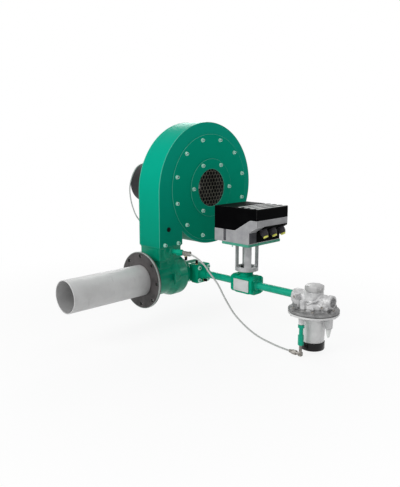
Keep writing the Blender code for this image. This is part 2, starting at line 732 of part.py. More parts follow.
def nozzle():
    """Disc that closes the gas tube, with a ring of gas holes inside a ring of air holes, and a skirt."""
    disc_r = TUBE_R - TUBE_WALL - 4 * GAP
    bore = GAS_TUBE_R + GAP
    back = NOZZLE_X + NOZZLE_THICKNESS
    profile = [(0, NOZZLE_X), (disc_r, NOZZLE_X), (disc_r, back), (bore + 4 * MM, back),
               (bore + 4 * MM, back + NOZZLE_SKIRT), (bore, back + NOZZLE_SKIRT), (bore, back), (0, back)]
    disc = turned("nozzle", profile, (0, 0, 0), 'X', DARK_STEEL, 20)
    air = hole_cutter([(NOZZLE_X, y, z) for y, z in ring_places(AIR_HOLE_CIRCLE_R, AIR_HOLES)], AIR_HOLE_R,
                      4 * NOZZLE_THICKNESS, 'X', 8)
    gas = hole_cutter([(NOZZLE_X, y, z) for y, z in ring_places(GAS_HOLE_CIRCLE_R, GAS_HOLES)], GAS_HOLE_R,
                      4 * NOZZLE_THICKNESS, 'X', 8)
    rods = hole_cutter(electrode_places(NOZZLE_X), ELECTRODE_R + 1 * MM, 4 * NOZZLE_THICKNESS + 2 * NOZZLE_SKIRT, 'X')
    cut(disc, air, gas, rods)


def electrodes():
    """Spark and flame electrode, side by side from the rear cover to the nozzle."""
    out = REAR_COVER_X + REAR_COVER_THICKNESS + GAP
    profile = [(0, NOZZLE_X), (ELECTRODE_R, NOZZLE_X), (ELECTRODE_R, 55 * MM), (CERAMIC_R, 55 * MM),
               (CERAMIC_R, out + 6 * MM), (3 * MM, out + 8 * MM), (3 * MM, out + 20 * MM), (1.5 * MM, out + 20 * MM),
               (1.5 * MM, out + 26 * MM), (0, out + 26 * MM)]
    for name, at in zip(("spark_electrode", "flame_electrode"), electrode_places(0)):
        turned(name, profile, at, 'X', CERAMIC, 8)


def scroll_outline(inset, bottom):
    """Spiral that grows from the tongue round to the outlet's left wall, and the straight outlet."""
    left, right = OUTLET_LEFT + inset, OUTLET_RIGHT - inset
    base = SCROLL_R - inset
    start = -pi + acos((BLOWER_X - right) / base)
    count = 30
    points = [(left, bottom), (right, bottom)]
    for i in range(count + 1):
        angle = start + (pi - start) * i / count
        radius = base + SCROLL_GROWTH * max(0, (angle + pi / 2) / (pi / 2))
        points.append((BLOWER_X + radius * cos(angle), BLOWER_Z + radius * sin(angle)))
    return points


def outlet_bolt_xs():
    return (NECK_X[0] + OUTLET_BOLT_INSET - 5 * MM, NECK_X[1] - OUTLET_BOLT_INSET + 8 * MM)


def blower_housing():
    shell = sheet("blower_housing", [scroll_outline(0, OUTLET_BOTTOM_Z)], BACK_Y - FRONT_Y, (0, BACK_Y, 0), '-Y',
                  GREEN)
    hollow = sheet("hollow", [scroll_outline(SHEET, OUTLET_BOTTOM_Z - SHEET)], BACK_Y - FRONT_Y - 2 * SHEET,
                   (0, BACK_Y - SHEET, 0), '-Y', GREEN)
    front = rod("front", HOUSING_HOLE_R, 2 * SHEET, (BLOWER_X, FRONT_Y - SHEET / 2, BLOWER_Z), 'Y', GREEN, 26)
    back = rod("back", HOUSING_BACK_HOLE_R, 2 * SHEET, (BLOWER_X, BACK_Y + SHEET / 2, BLOWER_Z), '-Y', GREEN, 16)
    cover_holes = hole_cutter(cover_bolt_places(FRONT_Y), M8[2] + GAP, 3 * SHEET, 'Y')
    motor_holes = hole_cutter(motor_bolt_places(BACK_Y), M8[2] + GAP, 3 * SHEET, 'Y')
    plug = rod("plug", PLUG_HOLE_R, 2 * SHEET, plug_place(FRONT_Y - SHEET / 2), 'Y', GREEN, 8)
    anchor = rod("anchor", CABLE_R + 2 * MM, 2 * SHEET, anchor_place(BACK_Y + SHEET / 2), '-Y', GREEN, 8)
    shell = cut(shell, hollow, front, back, cover_holes, motor_holes, plug, anchor)
    gland = gland_shape(GLAND_LENGTH, 0.7 * GLAND_R, anchor_place(BACK_Y - SINK), 'Y', CABLE_R + GAP)
    shell = joined(shell, gland)
    z = OUTLET_BOTTOM_Z + OUTLET_BOLT_RISE
    rows = [((x, FRONT_Y, z), '-Y', M8, SHEET + 7 * MM, 0) for x in outlet_bolt_xs()]
    rows += [((x, BACK_Y, z), 'Y', M8, SHEET + 7 * MM, 0) for x in outlet_bolt_xs()]
    bolted(shell, rows)


def plug_place(y):
    return (OUTLET_LEFT + PLUG_X, y, OUTLET_BOTTOM_Z + PLUG_RISE)


def anchor_place(y):
    return (OUTLET_LEFT + 68 * MM, y, OUTLET_BOTTOM_Z + 40 * MM)


def cover_bolt_places(y):
    return [(BLOWER_X + x, y, BLOWER_Z + z) for x, z in ring_places(COVER_BOLT_R, COVER_BOLTS, radians(15))]


def ring_bolt_places(y):
    return [(BLOWER_X + x, y, BLOWER_Z + z) for x, z in ring_places(RING_BOLT_R, RING_BOLTS)]


def motor_bolt_places(y):
    return [(BLOWER_X + x, y, BLOWER_Z + z) for x, z in ring_places(MOTOR_BOLT_R, 4, pi / 4)]


def inlet_cover():
    holes = [bolt_hole(M8, centre) for centre in ring_places(RING_BOLT_R, RING_BOLTS)]
    outlines = [circle(COVER_R, 30), circle(COVER_HOLE_R, 24)] + holes
    cover = sheet("inlet_cover", outlines, SHEET, (BLOWER_X, FRONT_Y - GAP, BLOWER_Z), '-Y', GREEN)
    bolted(cover, [(at, '-Y', M8, 2 * SHEET + 6 * MM, 0) for at in cover_bolt_places(COVER_Y)])


def inlet_ring():
    outlines = [circle(RING_R, 26), circle(RING_HOLE_R, 24)]
    ring = sheet("inlet_ring", outlines, SHEET, (BLOWER_X, COVER_Y - GAP, BLOWER_Z), '-Y', GREEN)
    bolted(ring, [(at, '-Y', M8, 2 * SHEET + 4 * MM, 0) for at in ring_bolt_places(RING_Y)])


def inlet_grille():
    """Honeycomb sheet clamped behind the inlet ring."""
    radius = COVER_HOLE_R - 4 * GAP
    cell = (GRILLE_PITCH - GRILLE_WEB) / sqrt(3)
    cells = []
    rows = int(RING_HOLE_R / (GRILLE_PITCH * sqrt(3) / 2)) + 1
    for row in range(-rows, rows + 1):
        for column in range(-rows - 1, rows + 2):
            x = (column + 0.5 * (row % 2)) * GRILLE_PITCH
            y = row * GRILLE_PITCH * sqrt(3) / 2
            if hypot(x, y) < RING_HOLE_R + 0.2 * GRILLE_PITCH:
                cells.append([(x + cell * cos(a), y + cell * sin(a)) for a in
                              [pi / 6 + i * pi / 3 for i in range(6)]])
    sheet("inlet_grille", [circle(radius, 24)] + cells, GRILLE_THICKNESS,
          (BLOWER_X, COVER_Y + GRILLE_THICKNESS, BLOWER_Z), '-Y', DARK_STEEL)


def inlet_cone():
    """Spun cone that leads the air from the grille into the impeller's eye."""
    outer = COVER_HOLE_R - 4 * GAP
    face = COVER_Y + GRILLE_THICKNESS + GAP
    mouth = RING_HOLE_R + 7 * MM
    bend = [(CONE_EYE_R + (mouth - CONE_EYE_R) * (1 - sin(t)), face + CONE_DEPTH * (1 - cos(t)))
            for t in [i / 4 * pi / 2 for i in range(5)]]
    inner = [(r, y) for r, y in bend]
    outside = [(r + CONE_SHEET, max(y, face + CONE_SHEET)) for r, y in bend[::-1]]
    profile = inner + outside + [(outer, face + CONE_SHEET), (outer, face)]
    turned("inlet_cone", profile, (BLOWER_X, 0, BLOWER_Z), 'Y', DARK_STEEL, 20)


def blade_outline(turn):
    """One backward curved blade, of even thickness, from the eye to the rim."""
    middle = []
    for i in range(5):
        share = i / 4
        radius = IMPELLER_EYE_R + 6 * MM + (IMPELLER_R - IMPELLER_EYE_R - 9 * MM) * share
        angle = turn + BLADE_SWEEP * share
        middle.append(Vector((radius * cos(angle), radius * sin(angle))))
    sides = []
    for i, point in enumerate(middle):
        along = (middle[min(i + 1, 4)] - middle[max(i - 1, 0)]).normalized()
        sides.append((point, Vector((-along.y, along.x)) * IMPELLER_SHEET / 2))
    return [tuple(p + n) for p, n in sides] + [tuple(p - n) for p, n in sides[::-1]]


def impeller():
    """Back disc with hub, backward curved blades and a shroud ring, welded to one piece."""
    back = BACK_Y - SHEET - IMPELLER_BACK_CLEAR
    profile = [(SHAFT_R + GAP, back), (IMPELLER_R, back), (IMPELLER_R, back - IMPELLER_SHEET),
               (HUB_R, back - IMPELLER_SHEET), (HUB_R, back - HUB_LENGTH), (SHAFT_R + GAP, back - HUB_LENGTH)]
    wheel = turned("impeller", profile, (BLOWER_X, 0, BLOWER_Z), 'Y', DARK_STEEL, 24)
    front = back - IMPELLER_WIDTH
    shroud = tube("shroud", IMPELLER_R, IMPELLER_EYE_R, IMPELLER_SHEET, (BLOWER_X, front, BLOWER_Z), 'Y',
                  DARK_STEEL, 24)
    sink = 0.5 * IMPELLER_SHEET
    outlines = [blade_outline(2 * pi * i / IMPELLER_BLADES) for i in range(IMPELLER_BLADES)]
    blades = sheet("blades", outlines, IMPELLER_WIDTH - 2 * sink, (BLOWER_X, back - sink, BLOWER_Z), '-Y',
                   DARK_STEEL)
    joined(wheel, shroud, blades)


def motor_stations():
    """Places along the motor: both bearings, the stack and the cooling fan."""
    front_bearing = SHIELD_Y + 6 * MM
    rear_bearing = REAR_SHIELD_Y - 12 * MM
    stack = (front_bearing + rear_bearing + BEARING_WIDTH - STACK_LENGTH) / 2
    fan = REAR_SHIELD_Y + SHIELD_THICKNESS + 8 * MM
    return front_bearing, rear_bearing, stack, fan


def motor_shaft():
    """Shaft with the rotor core pressed on it."""
    front_bearing, rear_bearing, stack, fan = motor_stations()
    start = BACK_Y - SHEET - IMPELLER_BACK_CLEAR - HUB_LENGTH
    profile = [(0, start), (SHAFT_R, start), (SHAFT_R, front_bearing - 5 * MM), (JOURNAL_R, front_bearing - 5 * MM),
               (JOURNAL_R, stack), (ROTOR_R, stack), (ROTOR_R, stack + STACK_LENGTH),
               (JOURNAL_R, stack + STACK_LENGTH), (JOURNAL_R, rear_bearing + BEARING_WIDTH + 1 * MM),
               (8 * MM, rear_bearing + BEARING_WIDTH + 1 * MM), (8 * MM, fan + 12 * MM), (0, fan + 12 * MM)]
    turned("motor_shaft", profile, (BLOWER_X, 0, BLOWER_Z), 'Y', TUBE_STEEL, 16)


def motor_frame():
    """Ribbed frame: cooling fins round a plain bore, with the stator core pressed in."""
    pitch = 2 * pi / FRAME_FINS
    outline = []
    for i in range(FRAME_FINS):
        for radius, share in ((FRAME_CORE_R, -0.5 + FIN_SHARE / 2), (FRAME_CORE_R, 0.5 - FIN_SHARE / 2),
                              (FIN_R, 0.5 - FIN_SHARE / 2.8), (FIN_R, 0.5 + FIN_SHARE / 2.8)):
            angle = (i + share) * pitch
            outline.append((radius * cos(angle), radius * sin(angle)))
    frame = sheet("motor_frame", [outline, circle(FRAME_BORE_R, 20)], FRAME_LENGTH, (BLOWER_X, FRAME_Y, BLOWER_Z),
                  'Y', MOTOR_BLACK)
    core = tube("core", FRAME_BORE_R + 3 * MM, STATOR_R, STACK_LENGTH, (BLOWER_X, motor_stations()[2], BLOWER_Z), 'Y',
                DARK_STEEL, 20)
    joined(frame, core)


def motor_front_shield():
    bearing = motor_stations()[0]
    seat = BEARING_R + 2 * GAP
    hub = seat + 6 * MM
    end = bearing + BEARING_WIDTH
    spigot = FRAME_BORE_R - GAP
    profile = [(JOURNAL_R + 1 * MM, SHIELD_Y), (SHIELD_R, SHIELD_Y), (SHIELD_R, SHIELD_Y + SHIELD_THICKNESS),
               (spigot, SHIELD_Y + SHIELD_THICKNESS), (spigot, SHIELD_Y + SHIELD_THICKNESS + 4 * MM),
               (hub, SHIELD_Y + SHIELD_THICKNESS + 4 * MM), (hub, end), (seat, end), (seat, bearing - GAP),
               (JOURNAL_R + 1 * MM, bearing - GAP)]
    shield = turned("motor_front_shield", profile, (BLOWER_X, 0, BLOWER_Z), 'Y', MOTOR_BLACK, 20)
    bolted(shield, [(at, '-Y', M8, SHEET + 8 * MM, 0) for at in motor_bolt_places(BACK_Y - SHEET - GAP - SINK)])


def motor_rear_shield():
    bearing = motor_stations()[1]
    seat = BEARING_R + 2 * GAP
    hub = seat + 6 * MM
    spigot = FRAME_BORE_R - GAP
    back = REAR_SHIELD_Y + SHIELD_THICKNESS
    stop = bearing + BEARING_WIDTH + GAP
    profile = [(JOURNAL_R + 1 * MM, back), (FRAME_CORE_R, back), (FRAME_CORE_R, REAR_SHIELD_Y),
               (spigot, REAR_SHIELD_Y), (spigot, REAR_SHIELD_Y - 4 * MM), (hub, REAR_SHIELD_Y - 4 * MM),
               (hub, bearing), (seat, bearing), (seat, stop), (JOURNAL_R + 1 * MM, stop)]
    turned("motor_rear_shield", profile, (BLOWER_X, 0, BLOWER_Z), 'Y', MOTOR_BLACK, 20)


def motor_bearings():
    for name, y in zip(("front_bearing", "rear_bearing"), motor_stations()):
        tube(name, BEARING_R, JOURNAL_R + 2 * GAP, BEARING_WIDTH, (BLOWER_X, y, BLOWER_Z), 'Y', PLATED, 14)


def cooling_fan():
    """Flat disc with straight radial blades on the rear end of the shaft."""
    fan = motor_stations()[3]
    profile = [(8 * MM + GAP, fan), (14 * MM, fan), (14 * MM, fan + 9 * MM), (FAN_R, fan + 9 * MM),
               (FAN_R, fan + 11 * MM), (8 * MM + GAP, fan + 11 * MM)]
    disc = turned("cooling_fan", profile, (BLOWER_X, 0, BLOWER_Z), 'Y', BLACK, 16)
    blades = []
    for i in range(FAN_BLADES):
        angle = 2 * pi * (i + 0.5) / FAN_BLADES
        blade = box("blade", (20 * MM, -1 * MM, 0), (FAN_R - 2 * MM, 1 * MM, 20 * MM), BLACK)
        blade.matrix_world = (Matrix.Translation((BLOWER_X, fan + 10 * MM, BLOWER_Z))
                              @ Matrix.Rotation(angle, 4, 'Y') @ Matrix.Rotation(-pi / 2, 4, 'X')
                              @ blade.matrix_world)
        blades.append(blade)
    bpy.context.view_layer.update()
    joined(disc, *blades)


def fan_cowl():
    """Sheet cup over the frame's end and the fan, with two rings of air holes in its end."""
    start = FRAME_Y + FRAME_LENGTH - COWL_OVERLAP
    end = start + COWL_OVERLAP + COWL_LENGTH
    inner = MOTOR_R - COWL_SHEET
    profile = [(0, end), (MOTOR_R - 6 * MM, end), (MOTOR_R, end - 6 * MM), (MOTOR_R, start), (inner, start),
               (inner, end - 6 * MM), (MOTOR_R - 7 * MM, end - COWL_SHEET), (0, end - COWL_SHEET)]
    cowl = turned("fan_cowl", profile, (BLOWER_X, 0, BLOWER_Z), 'Y', MOTOR_BLACK, 24)
    places = ring_places(54 * MM, 10)
    holes = hole_cutter([(BLOWER_X + x, end, BLOWER_Z + z) for x, z in places], 8 * MM, 6 * COWL_SHEET, 'Y', 8)
    cut(cowl, holes)


def terminal_box():
    length, width, height = TERMINAL_BOX
    x0, y0, z0 = BLOWER_X - length / 2, BACK_Y + TERMINAL_BOX_SETBACK, BLOWER_Z + FIN_R + GAP
    case = box("terminal_box", (x0, y0, z0), (x0 + length, y0 + width, z0 + height), MOTOR_BLACK, 4 * MM)
    lip = box("lid", (x0 - 1 * MM, y0 - 1 * MM, z0 + 0.66 * height),
              (x0 + length + 1 * MM, y0 + width + 1 * MM, z0 + 0.74 * height), MOTOR_BLACK)
    start = cable_ends()[0] + Vector((SINK, 0, 0))
    gland = gland_shape(GLAND_LENGTH, 0.7 * GLAND_R, start, '-X', CABLE_R + GAP)
    joined(case, lip, gland)


def cable_ends():
    """Where the motor cable leaves the terminal box, and where it enters the housing's back."""
    x = BLOWER_X - TERMINAL_BOX[0] / 2
    y = BACK_Y + TERMINAL_BOX_SETBACK + TERMINAL_BOX[1] / 2
    z = BLOWER_Z + FIN_R + GAP + TERMINAL_BOX[2] / 2
    return Vector((x, y, z)), Vector(anchor_place(BACK_Y))


def motor_cable():
    """Thin cable that hangs in one loop beside the motor, from the terminal box to the outlet's back."""
    start, end = cable_ends()
    reach = GLAND_LENGTH + 2 * GAP
    route = [start - Vector((reach, 0, 0)), start - Vector((reach + 20 * MM, 0, 2 * MM)),
             Vector(CABLE_ROUTE[0]), Vector(CABLE_ROUTE[1]), Vector(CABLE_ROUTE[2]), Vector(CABLE_ROUTE[3]), Vector(CABLE_ROUTE[4]),
             Vector(CABLE_ROUTE[5]), Vector(CABLE_ROUTE[6]), end + Vector((0, reach + 16 * MM, 6 * MM)),
             end + Vector((0, reach, 0))]
    wire("motor_cable", smooth_route(route, 3 * 2 * CABLE_R), CABLE_R, TUBING)


def gland_shape(length, radius, at, axis, bore):
    """Cable gland: hexagon foot drawn as a collar, then a domed nut."""
    profile = [(bore, 0), (radius, 0), (radius, 0.3 * length), (0.86 * radius, 0.34 * length),
               (0.92 * radius, 0.42 * length), (0.92 * radius, 0.8 * length), (0.74 * radius, length),
               (bore, length)]
    return turned("gland", profile, at, axis, BLACK, 8)


def chin():
    """Middle and outward direction of the slope under the actuator's front, where the glands sit."""
    low = Vector((0, VALVE_Y + ACTUATOR_INSET, ACTUATOR_Z + CHIN_LOW))
    high = Vector((0, VALVE_Y + ACTUATOR_FRONT, ACTUATOR_Z + CHIN_HIGH))
    along = (high - low).normalized()
    return (low + high) / 2, Vector((0, -along.z, along.y))


def gland_xs():
    return [PIPE_X + GLAND_OFFSET + GLAND_SPACING * i for i in (-1, 0, 1)]


def gland_plugs():
    """Yellow transport plugs in the actuator's three free glands."""
    middle, out = chin()
    inner = GLAND_PLUG_R - 1 * MM - GAP
    profile = [(0, GLAND_LENGTH - 9 * MM), (inner, GLAND_LENGTH - 9 * MM), (inner, GLAND_LENGTH + GAP),
               (GLAND_PLUG_R, GLAND_LENGTH + GAP), (GLAND_PLUG_R, GLAND_LENGTH + 4 * MM), (0, GLAND_LENGTH + 5 * MM)]
    for name, x in zip(("gland_plug_left", "gland_plug_middle", "gland_plug_right"), gland_xs()):
        turned(name, profile, middle + Vector((x, 0, 0)), out, YELLOW, 8)


def hole_plug():
    profile = [(0, -2 * SHEET), (PLUG_HOLE_R - 2 * GAP, -2 * SHEET), (PLUG_HOLE_R - 2 * GAP, GAP), (PLUG_HEAD_R, GAP),
               (PLUG_HEAD_R, 1.6 * MM), (0, 2.4 * MM)]
    turned("hole_plug", profile, plug_place(FRONT_Y), '-Y', RUBBER, 10)


def inlet_bolt_places():
    half = INLET_BOLT_SPACING / 2
    return [(PIPE_X + sx * half, PIPE_Z + sz * half) for sx in (-1, 1) for sz in (-1, 1)]


def orifice_plate():
    side = INLET_SIDE / 2
    holes = [bolt_hole(M8, (x, z)) for x, z in inlet_bolt_places()]
    outline = rounded_rectangle(PIPE_X - side, PIPE_X + side, PIPE_Z - side, PIPE_Z + side, 2 * MM, 2)
    sheet("orifice_plate", [outline, circle(ORIFICE_R, 8, (PIPE_X, PIPE_Z))] + holes, ORIFICE_THICKNESS,
          (0, ORIFICE_Y, 0), '-Y', PLATED)


def test_points():
    """Places and directions of the four capped pressure test nipples."""
    tee = Vector((AIR_TAP_X, TEE_Y - TEE_LENGTH / 2, AIR_TAP_Z))
    return [(Vector((PIPE_X - 24 * MM, BLOCK_Y + 15 * MM, PIPE_Z + INLET_SIDE / 2)), 'Z'),
            (Vector((PIPE_X, BLOCK_Y, PIPE_Z - 26 * MM)), '-Y'),
            (tee + Vector((TEE_SIDE / 2, 0, 0)), 'X'),
            (tee - Vector((0, 0, TEE_SIDE / 2)), '-Z')]


def gas_inlet_flange():
    half, spigot = INLET_SIDE / 2, INLET_SPIGOT_SIDE / 2
    block = box("gas_inlet_flange", (PIPE_X - half, BLOCK_Y, PIPE_Z - half),
                (PIPE_X + half, INLET_Y - INLET_SPIGOT, PIPE_Z + half), GREEN, 3 * MM)
    foot = box("foot", (PIPE_X - spigot, BLOCK_Y + 5 * MM, PIPE_Z - spigot),
               (PIPE_X + spigot, INLET_Y, PIPE_Z + spigot), GREEN)
    hub = rod("hub", INLET_HUB_R, INLET_HUB + 8 * MM, (PIPE_X, BLOCK_Y + 8 * MM, PIPE_Z), '-Y', GREEN, 16)
    block = joined(block, foot, hub)
    bore = rod("bore", GAS_PORT_R - 1 * MM, abs(HUB_END_Y), (PIPE_X, INLET_Y + 5 * MM, PIPE_Z), '-Y', GREEN, 12)
    socket = rod("socket", PIPE_R + 2 * GAP, 2 * PIPE_SOCKET, (PIPE_X, HUB_END_Y + PIPE_SOCKET, PIPE_Z), '-Y', GREEN, 16)
    block = cut(block, bore, socket)
    length = INLET_SPIGOT + INLET_BLOCK + ORIFICE_THICKNESS + 7 * MM
    block = bolted(block, [((x, BLOCK_Y, z), '-Y', M8, length, 0) for x, z in inlet_bolt_places()])
    joined(block, *[test_nipple(at, axis) for at, axis in test_points()[:2]])


def valve_bolt_places(y):
    half = VALVE_BOLT_SPACING / 2
    return [(PIPE_X + sx * half, y, PIPE_Z + sz * half) for sx in (-1, 1) for sz in (-1, 1)]


def test_nipple(at, axis):
    profile = [(0, -7 * MM), (3 * MM, -7 * MM), (3 * MM, -SINK), (5 * MM, -SINK), (5 * MM, 4 * MM), (3 * MM, 4 * MM),
               (2.6 * MM, 13 * MM), (0, 13 * MM)]
    return turned("nipple", profile, at, axis, BRASS, 8)


def test_caps():
    """Black caps on the pressure test nipples, two at the gas inlet and two at the tee."""
    bore = 3 * MM + GAP
    profile = [(0, 13 * MM + GAP), (bore, 13 * MM + GAP), (bore, 4 * MM + GAP), (5.4 * MM, 4 * MM + GAP),
               (5 * MM, 15 * MM), (3 * MM, 17 * MM), (0, 17 * MM)]
    names = ("test_cap_inlet_top", "test_cap_inlet_front", "test_cap_tee_side", "test_cap_tee_bottom")
    for name, (at, axis) in zip(names, test_points()):
        turned(name, profile, at, axis, RUBBER, 8)


def flanged_pipe(name, seat, axis, end):
    """Gas pipe with a square flange welded on its valve end."""
    half = VALVE_FLANGE / 2
    outline = rounded_rectangle(-half, half, -half, half, 12 * MM)
    plate = sheet(name, [outline], PIPE_FLANGE_T, (PIPE_X, seat, PIPE_Z), axis, GREEN)
    pipe = rod("pipe", PIPE_R, abs(end - seat) - 2 * MM, (PIPE_X, end, PIPE_Z), '-Y' if axis == 'Y' else 'Y', GREEN, 14)
    weld = turned("weld", [(0, 0), (PIPE_R + 4 * MM, 0), (PIPE_R + 0.5 * MM, 6 * MM), (0, 6 * MM)],
                  Vector((PIPE_X, seat, PIPE_Z)) + axis_vector(axis) * (PIPE_FLANGE_T - 1 * MM), axis, GREEN, 14)
    plate = joined(plate, pipe, weld)
    start = Vector((PIPE_X, seat, PIPE_Z)) - axis_vector(axis) * 10 * MM
    bore = rod("bore", PIPE_R - PIPE_WALL, abs(end - seat) + 30 * MM, start, axis, GREEN, 12)
    plate = cut(plate, bore)
    face = Vector((0, PIPE_FLANGE_T, 0)) * (1 if axis == 'Y' else -1)
    reach = PIPE_FLANGE_T + VALVE_FLANGE_T - 1 * MM
    bolted(plate, [(Vector(at) + face, axis, M6, reach, 0) for at in valve_bolt_places(seat)])


def inlet_pipe():
    flanged_pipe("inlet_pipe", VALVE_Y + VALVE_REAR + GAP, 'Y', HUB_END_Y + PIPE_SOCKET - GAP)


def valve_body():
    """Cast body with square end flanges, a round neck for the stem and one bore each way."""
    half, flange = VALVE_SIDE / 2, VALVE_FLANGE / 2
    rear, front = VALVE_Y + VALVE_REAR, VALVE_Y - VALVE_FRONT
    middle = PIPE_Z + VALVE_LIFT
    body = box("valve_body", (PIPE_X - half, front + 2 * MM, middle - half), (PIPE_X + half, rear - 2 * MM, middle + half),
               GREEN, 4 * MM)
    outline = rounded_rectangle(-flange, flange, -flange, flange, 12 * MM)
    rear_flange = sheet("rear", [outline], VALVE_FLANGE_T, (PIPE_X, rear, PIPE_Z), '-Y', GREEN)
    front_flange = sheet("front", [outline], VALVE_FLANGE_T, (PIPE_X, front, PIPE_Z), 'Y', GREEN)
    top = PIPE_Z + VALVE_NECK_TOP
    neck = turned("neck", [(0, PIPE_Z), (VALVE_NECK_R, PIPE_Z), (VALVE_NECK_R, top - 2 * VALVE_RING_T),
                           (VALVE_RING_R, top - VALVE_RING_T), (VALVE_RING_R, top), (0, top)],
                  (PIPE_X, VALVE_Y, 0), 'Z', GREEN, 16)
    body = joined(body, rear_flange, front_flange, neck)
    bore = rod("bore", PLUG_PORT_R, VALVE_REAR + VALVE_FRONT + 20 * MM, (PIPE_X, rear + 10 * MM, PIPE_Z), '-Y', GREEN)
    plug = rod("plug", PLUG_R + 3 * GAP, PLUG_DROP + PLUG_TOP + 2 * GAP, (PIPE_X, VALVE_Y, PIPE_Z - PLUG_DROP - GAP), 'Z',
               GREEN, 16)
    stem = rod("stem", STEM_R + GAP, 2 * VALVE_NECK_TOP, (PIPE_X, VALVE_Y, PIPE_Z), 'Z', GREEN, 10)
    screws = hole_cutter(cage_screw_places(top), M4[2] + GAP, 14 * MM, 'Z', 8)
    flange_screws = hole_cutter(valve_bolt_places(rear) + valve_bolt_places(front), M6[2] + GAP, 4 * VALVE_FLANGE_T, 'Y')
    cut(body, bore, plug, stem, screws, flange_screws)


def cage_screw_places(z):
    return [(PIPE_X + x, VALVE_Y + y, z) for x, y in ring_places(CAGE_SCREW_R, 4, pi / 4)]


def valve_rotor():
    """Turned plug with its stem. The cross bore lies along X at rest, which shuts the valve."""
    low, high, top = PIPE_Z - PLUG_DROP, PIPE_Z + PLUG_TOP, PIPE_Z + STEM_TOP
    profile = [(0, low), (PLUG_R, low), (PLUG_R, high), (STEM_R, high), (STEM_R, top), (0, top)]
    rotor = turned("valve_rotor", profile, (PIPE_X, VALVE_Y, 0), 'Z', BRASS, 16)
    port = rod("port", PLUG_PORT_R - 1 * MM, 4 * PLUG_R, (PIPE_X - 2 * PLUG_R, VALVE_Y, PIPE_Z), 'X', BRASS, 10)
    cut(rotor, port)


def spacer_cage():
    """Turned cage with four windows, between the valve's neck and the actuator's plate."""
    bottom, top = CAGE_Z, CAGE_Z + CAGE_HEIGHT
    inner = CAGE_R - CAGE_WALL
    profile = [(CAGE_R, bottom), (CAGE_R, top), (20 * MM, top), (20 * MM, top - 6 * MM), (inner, top - 6 * MM),
               (inner, bottom + CAGE_FLOOR), (8 * MM, bottom + CAGE_FLOOR), (8 * MM, bottom)]
    cage = turned("spacer_cage", profile, (PIPE_X, VALVE_Y, 0), 'Z', ALUMINIUM, 24)
    half = CAGE_WINDOW / 2
    reach = 2 * CAGE_R
    low, high = bottom + CAGE_SILL, top - CAGE_HEAD
    across = box("across", (PIPE_X - reach, VALVE_Y - half, low), (PIPE_X + reach, VALVE_Y + half, high), ALUMINIUM)
    along = box("along", (PIPE_X - half, VALVE_Y - reach, low), (PIPE_X + half, VALVE_Y + reach, high), ALUMINIUM)
    cage = cut(cage, across, along)
    bolted(cage, [(at, 'Z', M4, CAGE_FLOOR + 5 * MM, 0) for at in cage_screw_places(bottom + CAGE_FLOOR)])


def stud_places(z):
    return [(PIPE_X + x, VALVE_Y + STUD_Y, z) for x in STUD_X]


def shaft_coupling():
    """Sleeve on the valve's stem that carries the actuator's shaft."""
    stem_top = PIPE_Z + STEM_TOP
    top = ACTUATOR_Z + 16 * MM
    bore = STEM_R + GAP
    profile = [(0, stem_top + GAP), (bore, stem_top + GAP), (bore, stem_top - 13 * MM), (COUPLING_R, stem_top - 13 * MM),
               (COUPLING_R, ADAPTER_Z - 8 * MM), (6 * MM, ADAPTER_Z - 8 * MM), (6 * MM, top), (0, top)]
    turned("shaft_coupling", profile, (PIPE_X, VALVE_Y, 0), 'Z', PLATED, 12)


def adapter_plate():
    outline = rounded_rectangle(*ADAPTER_X, *ADAPTER_Y, 6 * MM)
    plate = sheet("adapter_plate", [outline, circle(COUPLING_R + 1 * MM, 12)], ADAPTER_T, (PIPE_X, VALVE_Y, ADAPTER_Z),
                  'Z', GREEN)
    bolted(plate, [(at, '-Z', M5, ADAPTER_T + 3 * MM, 12 * MM) for at in stud_places(ADAPTER_Z)])


def side_profile(name, points, x0, x1, mat):
    """A side view outline of (distance forward, height) points, extruded across X."""
    outline = [(VALVE_Y + y, ACTUATOR_Z + z) for y, z in points]
    return sheet(name, [outline], x1 - x0, (x0, 0, 0), 'X', mat)


def actuator_base():
    """Cast base with a sloped chin for the glands, open at its top."""
    x0, x1 = PIPE_X + ACTUATOR_X[0], PIPE_X + ACTUATOR_X[1]
    outline = [(ACTUATOR_BACK, 0), (ACTUATOR_INSET, 0), (ACTUATOR_INSET, CHIN_LOW), (ACTUATOR_FRONT, CHIN_HIGH),
               (ACTUATOR_FRONT, BASE_HIGH), (ACTUATOR_SLOPE_END, BASE_HIGH), (ACTUATOR_STEP, BASE_LOW),
               (ACTUATOR_BACK, BASE_LOW)]
    wall = CASE_WALL
    above = ACTUATOR_HEIGHT
    pocket = [(ACTUATOR_BACK - wall, wall), (ACTUATOR_INSET + wall, wall), (ACTUATOR_INSET + wall, CHIN_LOW + wall),
              (ACTUATOR_FRONT + wall, CHIN_HIGH + wall), (ACTUATOR_FRONT + wall, above), (ACTUATOR_BACK - wall, above)]
    base = side_profile("actuator_base", outline, x0, x1, ALUMINIUM)
    hollow = side_profile("hollow", pocket, x0 + wall, x1 - wall, ALUMINIUM)
    shaft = rod("shaft", 7 * MM, 4 * wall, (PIPE_X, VALVE_Y, ACTUATOR_Z - 2 * wall), 'Z', ALUMINIUM, 10)
    studs = hole_cutter(stud_places(ACTUATOR_Z), M5[2] + GAP, 3 * wall, 'Z')
    base = cut(base, hollow, shaft, studs)
    middle, out = chin()
    glands = [gland_shape(GLAND_LENGTH, GLAND_R, middle + Vector((x, 0, 0)) - out * SINK, out, GLAND_PLUG_R - 1 * MM)
              for x in gland_xs()]
    joined(base, *glands)


